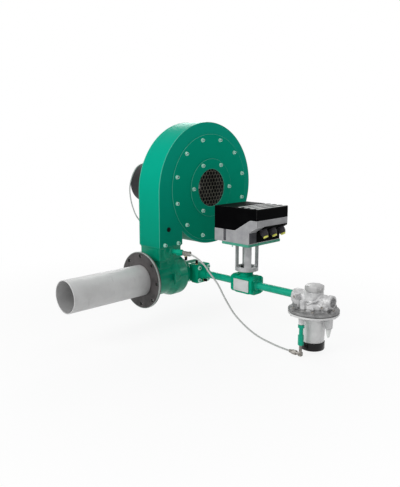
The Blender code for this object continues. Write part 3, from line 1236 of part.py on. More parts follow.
def actuator_cover():
    """Black cover on the base's stepped edge, with grooves across its front and a round window."""
    x0, x1 = PIPE_X + ACTUATOR_X[0], PIPE_X + ACTUATOR_X[1]
    outline = [(ACTUATOR_BACK, BASE_LOW + GAP), (ACTUATOR_STEP, BASE_LOW + GAP),
               (ACTUATOR_SLOPE_END, BASE_HIGH + GAP), (ACTUATOR_FRONT, BASE_HIGH + GAP),
               (ACTUATOR_FRONT, ACTUATOR_HEIGHT), (ACTUATOR_BACK, ACTUATOR_HEIGHT)]
    wall = CASE_WALL
    pocket = [(ACTUATOR_BACK - wall, 0), (ACTUATOR_FRONT + wall, 0), (ACTUATOR_FRONT + wall, ACTUATOR_HEIGHT - 2 * wall),
              (ACTUATOR_BACK - wall, ACTUATOR_HEIGHT - 2 * wall)]
    cover = side_profile("actuator_cover", outline, x0, x1, BLACK)
    hollow = side_profile("hollow", pocket, x0 + wall, x1 - wall, BLACK)
    top = ACTUATOR_Z + ACTUATOR_HEIGHT
    window = rod("window", INDICATOR_R, 6 * wall, (PIPE_X, VALVE_Y, top - 4 * wall), 'Z', BLACK, 12)
    grooves = []
    for i in range(COVER_GROOVES):
        y = VALVE_Y + ACTUATOR_FRONT + 14 * MM + i * GROOVE_PITCH
        grooves.append(box("groove", (x0 - wall, y, top - 3 * MM), (x1 + wall, y + GROOVE_WIDTH, top + wall), BLACK))
    cut(cover, hollow, window, *grooves)


def actuator_drive():
    """Gear motor block that fills the base, with a clear hole for the shaft."""
    wall = CASE_WALL + GAP
    low = ACTUATOR_Z + wall
    block = box("actuator_drive", (PIPE_X + ACTUATOR_X[0] + wall + 8 * MM, VALVE_Y + ACTUATOR_INSET + wall + 6 * MM, low),
                (PIPE_X + ACTUATOR_X[1] - wall - 8 * MM, VALVE_Y + ACTUATOR_BACK - wall, low + 30 * MM), DARK_STEEL)
    motor = rod("motor", 19 * MM, 66 * MM, (PIPE_X + 45 * MM, VALVE_Y + 20 * MM, low + 10 * MM), 'Z', DARK_STEEL, 10)
    block = joined(block, motor)
    shaft = rod("shaft", 7 * MM, 60 * MM, (PIPE_X, VALVE_Y, low - 10 * MM), 'Z', DARK_STEEL, 10)
    studs = hole_cutter(stud_places(low), M5[2] + GAP, 12 * MM, 'Z')
    cut(block, shaft, studs)


def position_indicator():
    """Pointer disc in the cover's window, on a spindle that turns with the valve."""
    foot = ACTUATOR_Z + 16 * MM + GAP
    top = ACTUATOR_Z + ACTUATOR_HEIGHT
    profile = [(0, foot), (4 * MM, foot), (4 * MM, top - 12 * MM), (INDICATOR_R - 3 * GAP, top - 8 * MM),
               (INDICATOR_R - 3 * GAP, top - 1 * MM), (0, top - 1 * MM)]
    disc = turned("position_indicator", profile, (PIPE_X, VALVE_Y, 0), 'Z', WHITE, 10)
    slot = box("slot", (PIPE_X - 1 * MM, VALVE_Y - 20 * MM, top - 2 * MM), (PIPE_X + 1 * MM, VALVE_Y, top), WHITE)
    cut(disc, slot)


def regulator_pipe():
    flanged_pipe("regulator_pipe", VALVE_Y - VALVE_FRONT - GAP, '-Y', REGULATOR_Y + OUTLET_PORT - PIPE_SOCKET + GAP)


def casing_screw_places(z):
    return [(PIPE_X + x, REGULATOR_Y + y, z) for x, y in ring_places(CASING_SCREW_R, CASING_SCREWS, pi / 6)]


def regulator_body():
    """Upper casing: rim, dome, inlet and outlet ports, and the valve chamber under the top cap."""
    top = PIPE_Z + DOME_TOP
    steps = [i / 3 for i in range(4)]
    dome = [(DOME_TOP_R + (DOME_R - DOME_TOP_R) * cos(s * pi / 2), RIM_Z + (top - 6 * MM - RIM_Z) * sin(s * pi / 2))
            for s in steps]
    profile = [(0, UPPER_FACE_Z), (RIM_R, UPPER_FACE_Z), (RIM_R, RIM_Z)] + dome + [(DOME_TOP_R, top), (0, top)]
    body = turned("regulator_body", profile, (PIPE_X, REGULATOR_Y, 0), 'Z', ALUMINIUM, 20)
    outlet = turned("outlet", [(0, 0), (OUTLET_PORT_R, 0), (OUTLET_PORT_R, OUTLET_PORT - 3 * MM),
                               (OUTLET_PORT_R - 3 * MM, OUTLET_PORT), (0, OUTLET_PORT)],
                    (PIPE_X, REGULATOR_Y, PIPE_Z), 'Y', ALUMINIUM, 8)
    neck_r = OUTLET_PORT_R - 1 * MM
    inlet = turned("inlet", [(0, -5 * MM), (neck_r, -5 * MM), (neck_r, INLET_PORT - 12 * MM),
                             (INLET_PORT_R, INLET_PORT - 10 * MM), (INLET_PORT_R, INLET_PORT), (0, INLET_PORT)],
                   (PIPE_X, REGULATOR_Y, PIPE_Z), '-Y', ALUMINIUM, 12)
    body = joined(body, outlet, inlet)
    chamber = turned("chamber", [(0, UPPER_FACE_Z - 5 * MM), (CHAMBER_R, UPPER_FACE_Z - 5 * MM), (CHAMBER_R, RIM_Z - 1 * MM),
                                 (CHAMBER_R - 16 * MM, RIM_Z + 5 * MM), (0, RIM_Z + 5 * MM)],
                     (PIPE_X, REGULATOR_Y, 0), 'Z', ALUMINIUM, 20)
    valve = rod("valve", VALVE_CHAMBER_R, DOME_TOP + 20 * MM, (PIPE_X, REGULATOR_Y, PIPE_Z - 12 * MM), 'Z', ALUMINIUM, 16)
    stem = rod("stem", 4 * MM + 2 * GAP, 30 * MM, (PIPE_X, REGULATOR_Y, RIM_Z), 'Z', ALUMINIUM, 8)
    outlet_bore = rod("bore", PIPE_R - PIPE_WALL, OUTLET_PORT, (PIPE_X, REGULATOR_Y + OUTLET_PORT + 2 * MM, PIPE_Z), '-Y',
                      ALUMINIUM, 12)
    socket = rod("socket", PIPE_R + 2 * GAP, 2 * PIPE_SOCKET, (PIPE_X, REGULATOR_Y + OUTLET_PORT - PIPE_SOCKET, PIPE_Z), 'Y',
                 ALUMINIUM, 14)
    inlet_bore = rod("inlet", PIPE_R, INLET_PORT, (PIPE_X, REGULATOR_Y - INLET_PORT - 2 * MM, PIPE_Z), 'Y', ALUMINIUM, 12)
    body = cut(body, chamber, valve, stem, outlet_bore, socket, inlet_bore)
    bolted(body, [(at, 'Z', M5, 2 * RIM_T + DIAPHRAGM_T, 0) for at in casing_screw_places(RIM_Z)])


def regulator_top_cap():
    """Hexagon cap whose spigot closes the valve chamber."""
    foot = PIPE_Z + DOME_TOP + GAP
    bm = bmesh.new()
    bmesh.ops.create_cone(bm, cap_ends=True, segments=6, radius1=CAP_FLATS / sqrt(3), radius2=CAP_FLATS / sqrt(3),
                          depth=CAP_HEIGHT)
    top_edges = [e for e in bm.edges if min(v.co.z for v in e.verts) > 0]
    bmesh.ops.bevel(bm, geom=top_edges, offset=2 * MM, segments=2, profile=0.5, affect='EDGES', material=-1)
    mesh = bpy.data.meshes.new("regulator_top_cap")
    bm.to_mesh(mesh)
    bm.free()
    cap = keep("regulator_top_cap", mesh, ALUMINIUM)
    cap.location = (PIPE_X, REGULATOR_Y, foot + CAP_HEIGHT / 2)
    spigot = rod("spigot", VALVE_CHAMBER_R - GAP, 12 * MM, (PIPE_X, REGULATOR_Y, foot - 8 * MM), 'Z', ALUMINIUM, 16)
    joined(cap, spigot)


def regulator_diaphragm():
    """Ring of the membrane that shows between the casings and flexes round the plates on the stem."""
    opening = (DIAPHRAGM_PLATE_R + 2 * GAP) / cos(pi / 24)
    holes = [bolt_hole(M5, centre) for centre in ring_places(CASING_SCREW_R, CASING_SCREWS, pi / 6)]
    sheet("regulator_diaphragm", [circle(DIAPHRAGM_R, 24), circle(opening, 24)] + holes, DIAPHRAGM_T,
          (PIPE_X, REGULATOR_Y, DIAPHRAGM_Z), 'Z', RUBBER)


def regulator_valve():
    """Stem with the valve disc above, and the plates that clamp the middle of the membrane."""
    plate_r = DIAPHRAGM_PLATE_R
    under = LOWER_FACE_Z
    disc = PIPE_Z + 4 * MM
    profile = [(0, under - 8 * MM), (4 * MM, under - 8 * MM), (4 * MM, under - 2 * MM), (plate_r, under - 2 * MM),
               (plate_r, UPPER_FACE_Z + 2 * MM), (4 * MM, UPPER_FACE_Z + 2 * MM), (4 * MM, disc), (14 * MM, disc),
               (14 * MM, disc + 5 * MM), (0, disc + 5 * MM)]
    turned("regulator_valve", profile, (PIPE_X, REGULATOR_Y, 0), 'Z', BRASS, 16)


def regulator_lower_casing():
    """Lower casing with the spring housing, the vent boss and the impulse boss."""
    bottom = PIPE_Z + SPRING_HOUSING_BOTTOM
    face = LOWER_FACE_Z
    thread_r = SPRING_HOUSING_R - 1.5 * MM
    profile = [(RIM_R, face), (RIM_R, face - RIM_T), (66 * MM, face - RIM_T), (60 * MM, face - 13 * MM),
               (44 * MM, face - 18 * MM), (SPRING_HOUSING_R + 4.5 * MM, face - 20 * MM),
               (SPRING_HOUSING_R + 4.5 * MM, face - 26 * MM), (SPRING_HOUSING_R + 1.5 * MM, face - 28 * MM),
               (SPRING_HOUSING_R, bottom), (thread_r, bottom), (thread_r, bottom - THREAD_LENGTH),
               (SPRING_BORE_R, bottom - THREAD_LENGTH), (SPRING_BORE_R, face - 16 * MM), (40 * MM, face - 13 * MM),
               (CHAMBER_R - 4 * MM, face - 7 * MM), (CHAMBER_R, face)]
    casing = turned("regulator_lower_casing", profile, (PIPE_X, REGULATOR_Y, 0), 'Z', ALUMINIUM, 24)
    vent = rod("vent", 9.5 * MM, face - 10 * MM - VENT_BOTTOM - PIPE_Z, (PIPE_X, REGULATOR_Y + VENT_Y, PIPE_Z + VENT_BOTTOM),
               'Z', ALUMINIUM, 10)
    impulse = rod("impulse", 9 * MM, 28 * MM, (PIPE_X + IMPULSE_X, REGULATOR_Y, face - 30 * MM), 'Z', ALUMINIUM, 10)
    casing = joined(casing, vent, impulse)
    vent_bore = rod("bore", 4 * MM, 30 * MM, (PIPE_X, REGULATOR_Y + VENT_Y, PIPE_Z + VENT_BOTTOM - 4 * MM), 'Z', ALUMINIUM, 8)
    impulse_bore = rod("bore", 4 * MM, 20 * MM, (PIPE_X + IMPULSE_X, REGULATOR_Y, face - 32 * MM), 'Z', ALUMINIUM, 8)
    screws = hole_cutter(casing_screw_places(face), M5[2] + GAP, 5 * RIM_T, 'Z', 8)
    cut(casing, vent_bore, impulse_bore, screws)


def adjuster_top():
    return PIPE_Z + SPRING_HOUSING_BOTTOM + 4 * MM


def regulator_spring():
    """Coil spring between the adjuster and the lower diaphragm plate."""
    low = adjuster_top() + SPRING_WIRE_R + GAP
    high = LOWER_FACE_Z - 2 * MM - SPRING_WIRE_R - GAP
    per_turn = 8
    points = []
    for i in range(SPRING_TURNS * per_turn + 1):
        share = i / (SPRING_TURNS * per_turn)
        angle = 2 * pi * i / per_turn
        points.append((PIPE_X + SPRING_R * cos(angle), REGULATOR_Y + SPRING_R * sin(angle), low + (high - low) * share))
    wire("regulator_spring", points, SPRING_WIRE_R, PLATED, 1)


def spring_adjuster():
    """Threaded disc under the spring, turned with a hexagon key."""
    top = adjuster_top()
    disc = rod("spring_adjuster", SPRING_BORE_R - 3 * GAP, ADJUSTER_T, (PIPE_X, REGULATOR_Y, top - ADJUSTER_T), 'Z', BRASS, 16)
    key = rod("key", 8 * MM, ADJUSTER_T, (PIPE_X, REGULATOR_Y, top - 1.5 * ADJUSTER_T), 'Z', BRASS, 6)
    cut(disc, key)


def bottom_cap():
    top = PIPE_Z + SPRING_HOUSING_BOTTOM - GAP
    floor = PIPE_Z + SPRING_HOUSING_BOTTOM - THREAD_LENGTH - GAP
    bottom = top - BOTTOM_CAP_HEIGHT
    inner = SPRING_HOUSING_R - 1.5 * MM + 2 * GAP
    profile = [(0, floor), (inner, floor), (inner, top), (BOTTOM_CAP_R, top), (BOTTOM_CAP_R, bottom + 3 * MM),
               (BOTTOM_CAP_R - 3 * MM, bottom), (0, bottom)]
    turned("bottom_cap", profile, (PIPE_X, REGULATOR_Y, 0), 'Z', BLACK, 20)


def vent_plug():
    top = PIPE_Z + VENT_BOTTOM - GAP
    profile = [(0, top), (7 * MM, top), (6.5 * MM, top - 8 * MM), (3 * MM, top - 24 * MM), (0, top - 26 * MM)]
    turned("vent_plug", profile, (PIPE_X, REGULATOR_Y + VENT_Y, 0), 'Z', WHITE, 8)


def impulse_column():
    """Heights of the impulse fittings under the boss: top, hexagon, neck, coupling end, elbow middle."""
    top = LOWER_FACE_Z - 30 * MM - GAP
    return top, top - 11 * MM, top - 35 * MM, top - 69 * MM, PIPE_Z - ELBOW_DROP


def impulse_adapter():
    top, hexagon, neck, end, elbow = impulse_column()
    bore = 3 * MM
    profile = [(bore, top), (9.5 * MM, top), (9.5 * MM, hexagon), (6.5 * MM, hexagon - 2 * MM), (6.5 * MM, neck),
               (8.5 * MM, neck - 2 * MM), (8.5 * MM, end), (bore, end)]
    turned("impulse_adapter", profile, (PIPE_X + IMPULSE_X, REGULATOR_Y, 0), 'Z', GREEN, 10)


def impulse_elbow():
    """Compression elbow that turns the impulse line from the regulator toward the burner."""
    top, hexagon, neck, end, elbow = impulse_column()
    x = PIPE_X + IMPULSE_X
    upright = rod("impulse_elbow", 5 * MM, end - GAP - (elbow - 6 * MM), (x, REGULATOR_Y, elbow - 6 * MM), 'Z', BRASS, 8)
    body = box("corner", (x - 6.5 * MM, REGULATOR_Y - 6.5 * MM, elbow - 7 * MM),
               (x + 6.5 * MM, REGULATOR_Y + 6.5 * MM, elbow + 7 * MM), BRASS, 1.5 * MM)
    nut = turned("nut", [(0, 0), (5 * MM, 0), (5 * MM, 14 * MM), (8 * MM, 15 * MM), (8 * MM, 32 * MM), (6 * MM, 36 * MM),
                         (6 * MM, ELBOW_REACH), (0, ELBOW_REACH)], (x, REGULATOR_Y, elbow), 'Y', BRASS, 8)
    fitting = joined(upright, body, nut)
    bore = rod("bore", IMPULSE_R + 3 * GAP, 20 * MM, (x, REGULATOR_Y + ELBOW_REACH - 10 * MM, elbow), 'Y', BRASS, 8)
    cut(fitting, bore)


def air_tap_nipple():
    """Pipe nipple with a hexagon from the neck's front face to the tee."""
    profile = [(3 * MM, 0), (NIPPLE_R, 0), (NIPPLE_R, NIPPLE_LENGTH - 30 * MM), (11 * MM, NIPPLE_LENGTH - 29 * MM),
               (11 * MM, NIPPLE_LENGTH - 8 * MM), (NIPPLE_R, NIPPLE_LENGTH - 7 * MM), (NIPPLE_R, NIPPLE_LENGTH),
               (3 * MM, NIPPLE_LENGTH)]
    turned("air_tap_nipple", profile, (AIR_TAP_X, NECK_Y[0] - GAP, AIR_TAP_Z), '-Y', GREEN, 10)


def air_tap_tee():
    """Four way fitting: air tap behind, impulse tube in front, a test nipple on the side and one below."""
    half = TEE_SIDE / 2
    end = TEE_Y - GAP - TEE_LENGTH
    block = box("air_tap_tee", (AIR_TAP_X - half, end, AIR_TAP_Z - half), (AIR_TAP_X + half, TEE_Y - GAP, AIR_TAP_Z + half),
                BRASS, 1.5 * MM)
    nut = turned("nut", [(0, 0), (7.5 * MM, 0), (7.5 * MM, 10 * MM), (6 * MM, 13 * MM), (0, 13 * MM)],
                 (AIR_TAP_X, end + 2 * MM, AIR_TAP_Z), '-Y', BRASS, 8)
    block = joined(block, nut, *[test_nipple(at, axis) for at, axis in test_points()[2:]])
    bore = rod("bore", IMPULSE_R + 3 * GAP, 20 * MM, (AIR_TAP_X, end - 1 * MM, AIR_TAP_Z), '-Y', BRASS, 8)
    cut(block, bore)


def impulse_tube():
    """Thin tube that hangs in one even sag from the tee to the elbow under the regulator."""
    elbow = impulse_column()[4]
    start = Vector((AIR_TAP_X, TEE_Y - GAP - TEE_LENGTH - 1 * MM - GAP, AIR_TAP_Z))
    end = Vector((PIPE_X + IMPULSE_X, REGULATOR_Y + ELBOW_REACH - 10 * MM + GAP, elbow))
    route = [start, start - Vector((0, 6 * MM, 0)), start - Vector((0, 12 * MM, 0))] + [Vector(p) for p in TUBE_ROUTE]
    route += [end + Vector((0, 14 * MM, 0)), end + Vector((0, 7 * MM, 0)), end]
    wire("impulse_tube", smooth_route(route, 2.6 * 2 * IMPULSE_R), IMPULSE_R, TUBING)


def build():
    combustion_tube()
    mounting_flange()
    burner_body()
    gas_housing()
    rear_cover()
    gas_tube()
    nozzle()
    electrodes()
    blower_housing()
    inlet_cover()
    inlet_ring()
    inlet_grille()
    inlet_cone()
    impeller()
    motor_shaft()
    motor_frame()
    motor_front_shield()
    motor_rear_shield()
    motor_bearings()
    cooling_fan()
    fan_cowl()
    terminal_box()
    motor_cable()
    gland_plugs()
    hole_plug()
    orifice_plate()
    gas_inlet_flange()
    test_caps()
    inlet_pipe()
    valve_body()
    valve_rotor()
    spacer_cage()
    shaft_coupling()
    adapter_plate()
    actuator_base()
    actuator_cover()
    actuator_drive()
    position_indicator()
    regulator_pipe()
    regulator_body()
    regulator_top_cap()
    regulator_diaphragm()
    regulator_valve()
    regulator_lower_casing()
    regulator_spring()
    spring_adjuster()
    bottom_cap()
    vent_plug()
    impulse_adapter()
    impulse_elbow()
    air_tap_nipple()
    air_tap_tee()
    impulse_tube()


build()
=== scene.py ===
"""Looks of the packaged gas burner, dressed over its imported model. Lengths are written in millimetres."""

from math import acos, ceil, cos, hypot, pi, radians, sin, sqrt

import bmesh
import bpy
from mathutils import Euler, Matrix, Vector


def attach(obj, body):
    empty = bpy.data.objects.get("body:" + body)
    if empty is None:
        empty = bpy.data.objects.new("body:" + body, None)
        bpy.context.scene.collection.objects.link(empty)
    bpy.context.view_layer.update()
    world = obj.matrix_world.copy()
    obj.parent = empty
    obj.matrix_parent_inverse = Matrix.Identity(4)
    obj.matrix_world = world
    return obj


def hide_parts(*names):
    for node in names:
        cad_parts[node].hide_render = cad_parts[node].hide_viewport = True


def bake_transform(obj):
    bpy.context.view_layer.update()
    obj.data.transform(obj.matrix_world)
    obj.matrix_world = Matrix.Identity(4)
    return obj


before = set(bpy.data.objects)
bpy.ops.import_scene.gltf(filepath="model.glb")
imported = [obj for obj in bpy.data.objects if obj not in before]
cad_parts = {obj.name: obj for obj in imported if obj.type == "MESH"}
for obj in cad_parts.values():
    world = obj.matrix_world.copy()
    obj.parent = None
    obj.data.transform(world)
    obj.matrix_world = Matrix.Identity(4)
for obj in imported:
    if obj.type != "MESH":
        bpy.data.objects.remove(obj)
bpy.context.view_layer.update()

MM = 0.001
STEEP = radians(32)

# Thickness of the blower's sheets, and the paint gap between two of them
SHEET = 3
GAP = 0.3

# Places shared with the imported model
PIPE_X = 243.6
BLOWER = (308.95, 327.0)
FRONT_Y = -62.4
BACK_Y = 52.5
OUTLET = (42.2, 156.5)
OUTLET_Z = 122.0
COVER_Y = FRONT_Y - SHEET - GAP
VALVE_Y = -306.0
REGULATOR_Y = -593.3
BASE_Z = 161.3
COVER_Z = 284.3
TEE = (105.0, 104.0)
FLOOR_Z = -182.0
VALVE_AT = (PIPE_X, VALVE_Y, 0)
REGULATOR_AT = (PIPE_X, REGULATOR_Y, 0)
VENT_AT = (PIPE_X, REGULATOR_Y - 58.3, 0)
SENSE_AT = (PIPE_X - 68.8, REGULATOR_Y, 0)
DRIVE_X = (156.8, 330.5)
GLAND_X = (209.6, 258.6, 307.6)

# Across flats, head height and washer radius of the bolts on the blower
BLOWER_BOLT = (10.5, 8.2, 7.4)

# The turn that brings Z to each axis
AXES = {
    'X': (pi / 2, 0, pi / 2),
    '-X': (pi / 2, 0, -pi / 2),
    'Y': (pi / 2, 0, pi),
    '-Y': (pi / 2, 0, 0),
    'Z': (0, 0, 0),
    '-Z': (pi, 0, 0),
}


def hub(y):
    """A place on the blower's axis."""
    return BLOWER[0], y, BLOWER[1]


def srgb(*levels):
    """Linear colour of three display levels from 0 to 255."""
    return tuple((v / 255 / 12.92) if v < 10.3 else ((v / 255 + 0.055) / 1.055) ** 2.4 for v in levels)


class Value:
    """What a socket gives in a node tree. Arithmetic on it adds the nodes that work it out."""

    def __init__(self, nodes, socket):
        self.nodes = nodes
        self.socket = socket

    def maths(self, operation, first, second=None):
        """A new value from a Math node."""
        inputs = {0: first} if second is None else {0: first, 1: second}
        return self.nodes.node("ShaderNodeMath", {"operation": operation}, inputs)

    def __add__(self, other):
        return self.maths('ADD', self, other)

    def __radd__(self, other):
        return self.maths('ADD', other, self)

    def __rsub__(self, other):
        return self.maths('SUBTRACT', other, self)

    def __mul__(self, other):
        return self.maths('MULTIPLY', self, other)

    def __rmul__(self, other):
        return self.maths('MULTIPLY', other, self)

    def root(self):
        """Square root."""
        return self.maths('SQRT', self)

    def sine(self):
        """Sine of an angle in radians."""
        return self.maths('SINE', self)

    def highest(self, other):
        """The larger of two values."""
        return self.maths('MAXIMUM', self, other)

    def rise(self, low, high):
        """0 below one value, 1 above the other, with a soft step between."""
        return self.nodes.node("ShaderNodeMapRange", {"interpolation_type": 'SMOOTHSTEP'},
                               {"Value": self, "From Min": low, "From Max": high})

    def beside(self, name):
        """What another socket of the same node gives."""
        return Value(self.nodes, self.socket.node.outputs[name])

    def part(self, name):
        """One of X, Y and Z of a vector."""
        return self.nodes.node("ShaderNodeSeparateXYZ", {}, {0: self}).beside(name)


class Nodes:
    """A node tree whose nodes hand on what they give as values."""

    def __init__(self, tree):
        self.tree = tree

    def node(self, kind, settings=None, inputs=None, output=0):
        """A new node with its settings, and the values or links of its sockets."""
        node = self.tree.nodes.new(kind)
        for key, value in (settings or {}).items():
            setattr(node, key, value)
        for key, value in (inputs or {}).items():
            self.feed(node.inputs[key], value)
        return Value(self, node.outputs[output])

    def feed(self, socket, value):
        """Link a value to a socket, or set the socket to a number, a vector or a colour."""
        if isinstance(value, Value):
            self.tree.links.new(value.socket, socket)
        elif socket.type == 'RGBA':
            socket.default_value = (*value[:3], 1)
        else:
            socket.default_value = value


class Finish(Nodes):
    """A procedural material whose patterns follow the object's own coordinates."""

    def __init__(self, name, **constants):
        self.material = bpy.data.materials.new(name)
        self.material.use_nodes = True
        super().__init__(self.material.node_tree)
        self.shader = self.tree.nodes["Principled BSDF"]
        for socket, value in constants.items():
            self.shader.inputs[socket.replace("_", " ")].default_value = value
        self.coordinates = self.node("ShaderNodeTexCoord", output="Object")

    def spot(self, stretch=(1, 1, 1), centre=(0, 0, 0)):
        """The coordinates moved to a centre in millimetres and stretched along each axis."""
        shift = tuple(-c * MM * s for c, s in zip(centre, stretch))
        return self.node("ShaderNodeMapping", {},
                         {"Vector": self.coordinates, "Location": shift, "Scale": stretch})

    def noise(self, scale, detail=3.0, roughness=0.5, stretch=(1, 1, 1)):
        """Cloudy noise from 0 to 1."""
        return self.node("ShaderNodeTexNoise", {},
                         {"Vector": self.spot(stretch), "Scale": scale, "Detail": detail, "Roughness": roughness})

    def cells(self, scale):
        """Distance to the nearest of many scattered points."""
        return self.node("ShaderNodeTexVoronoi", {}, {"Vector": self.coordinates, "Scale": scale}, "Distance")

    def blend(self, factor, first, second):
        """Mix of two colours."""
        return self.node("ShaderNodeMix", {"data_type": 'RGBA'}, {0: factor, 6: first, 7: second}, 2)

    def bump(self, height, strength, distance, under=None):
        """Normal of a relief, laid over another one where there is one."""
        inputs = {"Height": height, "Strength": strength, "Distance": distance * MM}
        if under:
            inputs["Normal"] = under
        return self.node("ShaderNodeBump", {}, inputs)

    def wear(self, colour, roughness, normal=None):
        """Hand the varying values to the shader."""
        self.feed(self.shader.inputs["Base Color"], colour)
        self.feed(self.shader.inputs["Roughness"], roughness)
        if normal:
            self.feed(self.shader.inputs["Normal"], normal)
        return self.material


def linear(colour, shade):
    """Both tones of a finish as linear colours."""
    return srgb(*colour), srgb(*shade)


def sheet_paint(name, colour, shade, gloss, level):
    """Satin enamel on sheet metal: paler toward the top as painted light, with orange peel and a little dust."""
    colour, shade = linear(colour, shade)
    finish = Finish(name, Specular_IOR_Level=level)
    height = finish.spot().part('Z')
    drift = finish.noise(7, 2)
    peel = finish.noise(520, 2, 0.6)
    dust = finish.noise(60, 5, 0.7)
    # Painted light: the paint grows paler toward the top and darker toward the bottom.
    tone = finish.blend((height + 0.06 * drift).rise(0.08, 0.56), shade, colour)
    tone = finish.blend(dust.rise(0.6, 0.8) * 0.1, tone, tuple(0.8 * c + 0.02 for c in colour))
    return finish.wear(tone, gloss + 0.12 * dust, finish.bump(peel, 0.18, 0.15))


def cast_paint(name, colour, shade, gloss, level):
    """Enamel on a sand casting: grainy skin with shallow dimples under the paint."""
    colour, shade = linear(colour, shade)
    finish = Finish(name, Specular_IOR_Level=level)
    skin = finish.noise(200, 3, 0.6)
    dimples = finish.noise(45, 3)
    tone = finish.blend(dimples.rise(0.35, 0.7), colour, shade)
    normal = finish.bump(dimples, 0.14, 0.6)
    return finish.wear(tone, gloss + 0.14 * skin, finish.bump(skin, 0.1, 0.15, normal))


def cast_metal(name, colour, shade, gloss, metallic, shade_band=None):
    """Bare die cast aluminium: blotchy oxide, fine pits, dark specks, and a painted shade band between two
    heights.
    """
    colour, shade = linear(colour, shade)
    finish = Finish(name, Metallic=metallic)
    skin = finish.noise(420, 3, 0.6)
    blotch = finish.noise(38, 4, 0.6)
    specks = finish.cells(150)
    tone = finish.blend(blotch.rise(0.3, 0.72), colour, shade)
    tone = finish.blend((1 - specks.rise(0.1, 0.22)) * 0.25, tone, tuple(0.35 * c for c in shade))
    # Painted shade: the faces between the two heights are darkened, mottled by the blotches.
    if shade_band:
        height = finish.spot().part('Z')
        low, high = shade_band
        above = height.rise((high - 4) * MM, high * MM)
        seat = height.rise(low * MM, (low + 2) * MM) * (1 - above)
        tone = finish.blend(seat * (0.5 + 0.4 * blotch), tone, tuple(0.2 * c for c in shade))
    return finish.wear(tone, gloss + 0.15 * blotch, finish.bump(skin, 0.35, 0.25))


def turned_metal(name, colour, shade, gloss, axis, centre=(0, 0, 0), metallic=0.8, pitch=0.9):
    """Lathe turned metal: fine rings round its axis, and faint stains."""
    colour, shade = linear(colour, shade)
    finish = Finish(name, Metallic=metallic)
    spot = finish.spot(centre=centre)
    along = spot.part(axis)
    across = [spot.part(name) for name in 'XYZ' if name != axis]
    reach = (across[0] * across[0] + across[1] * across[1]).root()
    rings = ((reach + along) * (2 * pi / (pitch * MM))).sine()
    stains = finish.noise(24, 4, 0.6)
    tone = finish.blend(stains.rise(0.35, 0.75), colour, shade)
    tone = finish.blend(rings * 0.06 + 0.06, tone, tuple(1.15 * c for c in colour))
    return finish.wear(tone, gloss + 0.12 * stains, finish.bump(rings, 0.12, 0.05))


def drawn_tube(name, colour, shade):
    """Cold drawn steel tube: streaks along it, cloudy scale and a few scuffs."""
    colour, shade = linear(colour, shade)
    finish = Finish(name, Metallic=0.55, Specular_IOR_Level=0.3)
    streaks = finish.noise(60, 3, 0.6, (0.12, 1, 1))
    clouds = finish.noise(9, 5, 0.65)
    scuffs = finish.noise(30, 2, 0.5, (2.2, 0.5, 0.5))
    tone = finish.blend(clouds.rise(0.32, 0.7), colour, shade)
    tone = finish.blend(scuffs.rise(0.66, 0.72) * 0.25, tone, tuple(0.7 * c for c in shade))
    return finish.wear(tone, 0.5 + 0.2 * streaks, finish.bump(streaks, 0.12, 0.1))


def zinc(name, colour, shade):
    """Bright zinc plating with a faint yellow drift."""
    colour, shade = linear(colour, shade)
    finish = Finish(name, Metallic=0.3)
    drift = finish.noise(130, 3)
    return finish.wear(finish.blend(drift.rise(0.35, 0.7), colour, shade), 0.22 + 0.2 * drift,
                       finish.bump(drift, 0.1, 0.1))


def moulded(name, colour, shade, gloss, grain=900, level=0.5, strength=0.25):
    """Moulded plastic or rubber: even fine grain with light rubbed patches."""
    colour, shade = linear(colour, shade)
    finish = Finish(name, Specular_IOR_Level=level)
    skin = finish.cells(grain)
    rub = finish.noise(26, 3)
    tone = finish.blend(rub.rise(0.45, 0.75), colour, shade)
    return finish.wear(tone, gloss + 0.14 * rub, finish.bump(skin, strength, 0.12))


GREEN = sheet_paint("green_sheet", (0, 165, 138), (0, 140, 113), 0.36, 0.03)
GREEN_COVER = sheet_paint("green_cover", (0, 162, 132), (0, 134, 105), 0.42, 0.012)
GREEN_RING = sheet_paint("green_ring", (0, 158, 128), (0, 132, 103), 0.44, 0.012)
# Paler green for the bevelled rims of the sheets and plates: painted highlight along the edges.
GREEN_EDGE = sheet_paint("green_edge", (96, 196, 172), (70, 176, 150), 0.35, 0.2)
GREEN_CAST = cast_paint("green_casting", (0, 144, 112), (0, 134, 104), 0.18, 0.22)
GREEN_BLOCK = cast_paint("green_block", (0, 160, 124), (0, 150, 116), 0.5, 0.04)
GREEN_PIPE = cast_paint("green_pipe", (8, 168, 136), (4, 158, 127), 0.34, 0.2)
GREEN_LIP = cast_paint("green_plate", (84, 164, 140), (64, 148, 124), 0.4, 0.1)
STEEL = drawn_tube("drawn_steel", (200, 200, 200), (186, 186, 186))
FLANGE_STEEL = turned_metal("flange_steel", (70, 66, 66), (32, 31, 30), 0.46, 'X', pitch=1.6, metallic=0.2)
# Pale steel for the front half of the flange's rim: painted highlight.
RIM_HIGHLIGHT = turned_metal("rim_highlight", (160, 168, 164), (126, 132, 128), 0.4, 'X', pitch=1.2, metallic=0.5)
ZINC = zinc("zinc_plating", (206, 250, 236), (172, 220, 206))
CASTING = cast_metal("die_casting", (224, 224, 224), (184, 184, 185), 0.4, 0.15, (-42, -22))
CASTING_PALE = cast_metal("base_casting", (162, 162, 164), (146, 146, 149), 0.5, 0.1)
# Paler grey for the bevelled rims of the actuator base: painted highlight along the edges.
CASTING_EDGE = cast_metal("casting_edge", (206, 206, 207), (188, 188, 189), 0.4, 0.2)
CAGE = turned_metal("cage_aluminium", (184, 184, 186), (150, 150, 152), 0.42, 'Z', VALVE_AT, 0.12)
TURNED = turned_metal("turned_aluminium", (220, 220, 220), (204, 204, 204), 0.4, 'Z', REGULATOR_AT, 0.2)
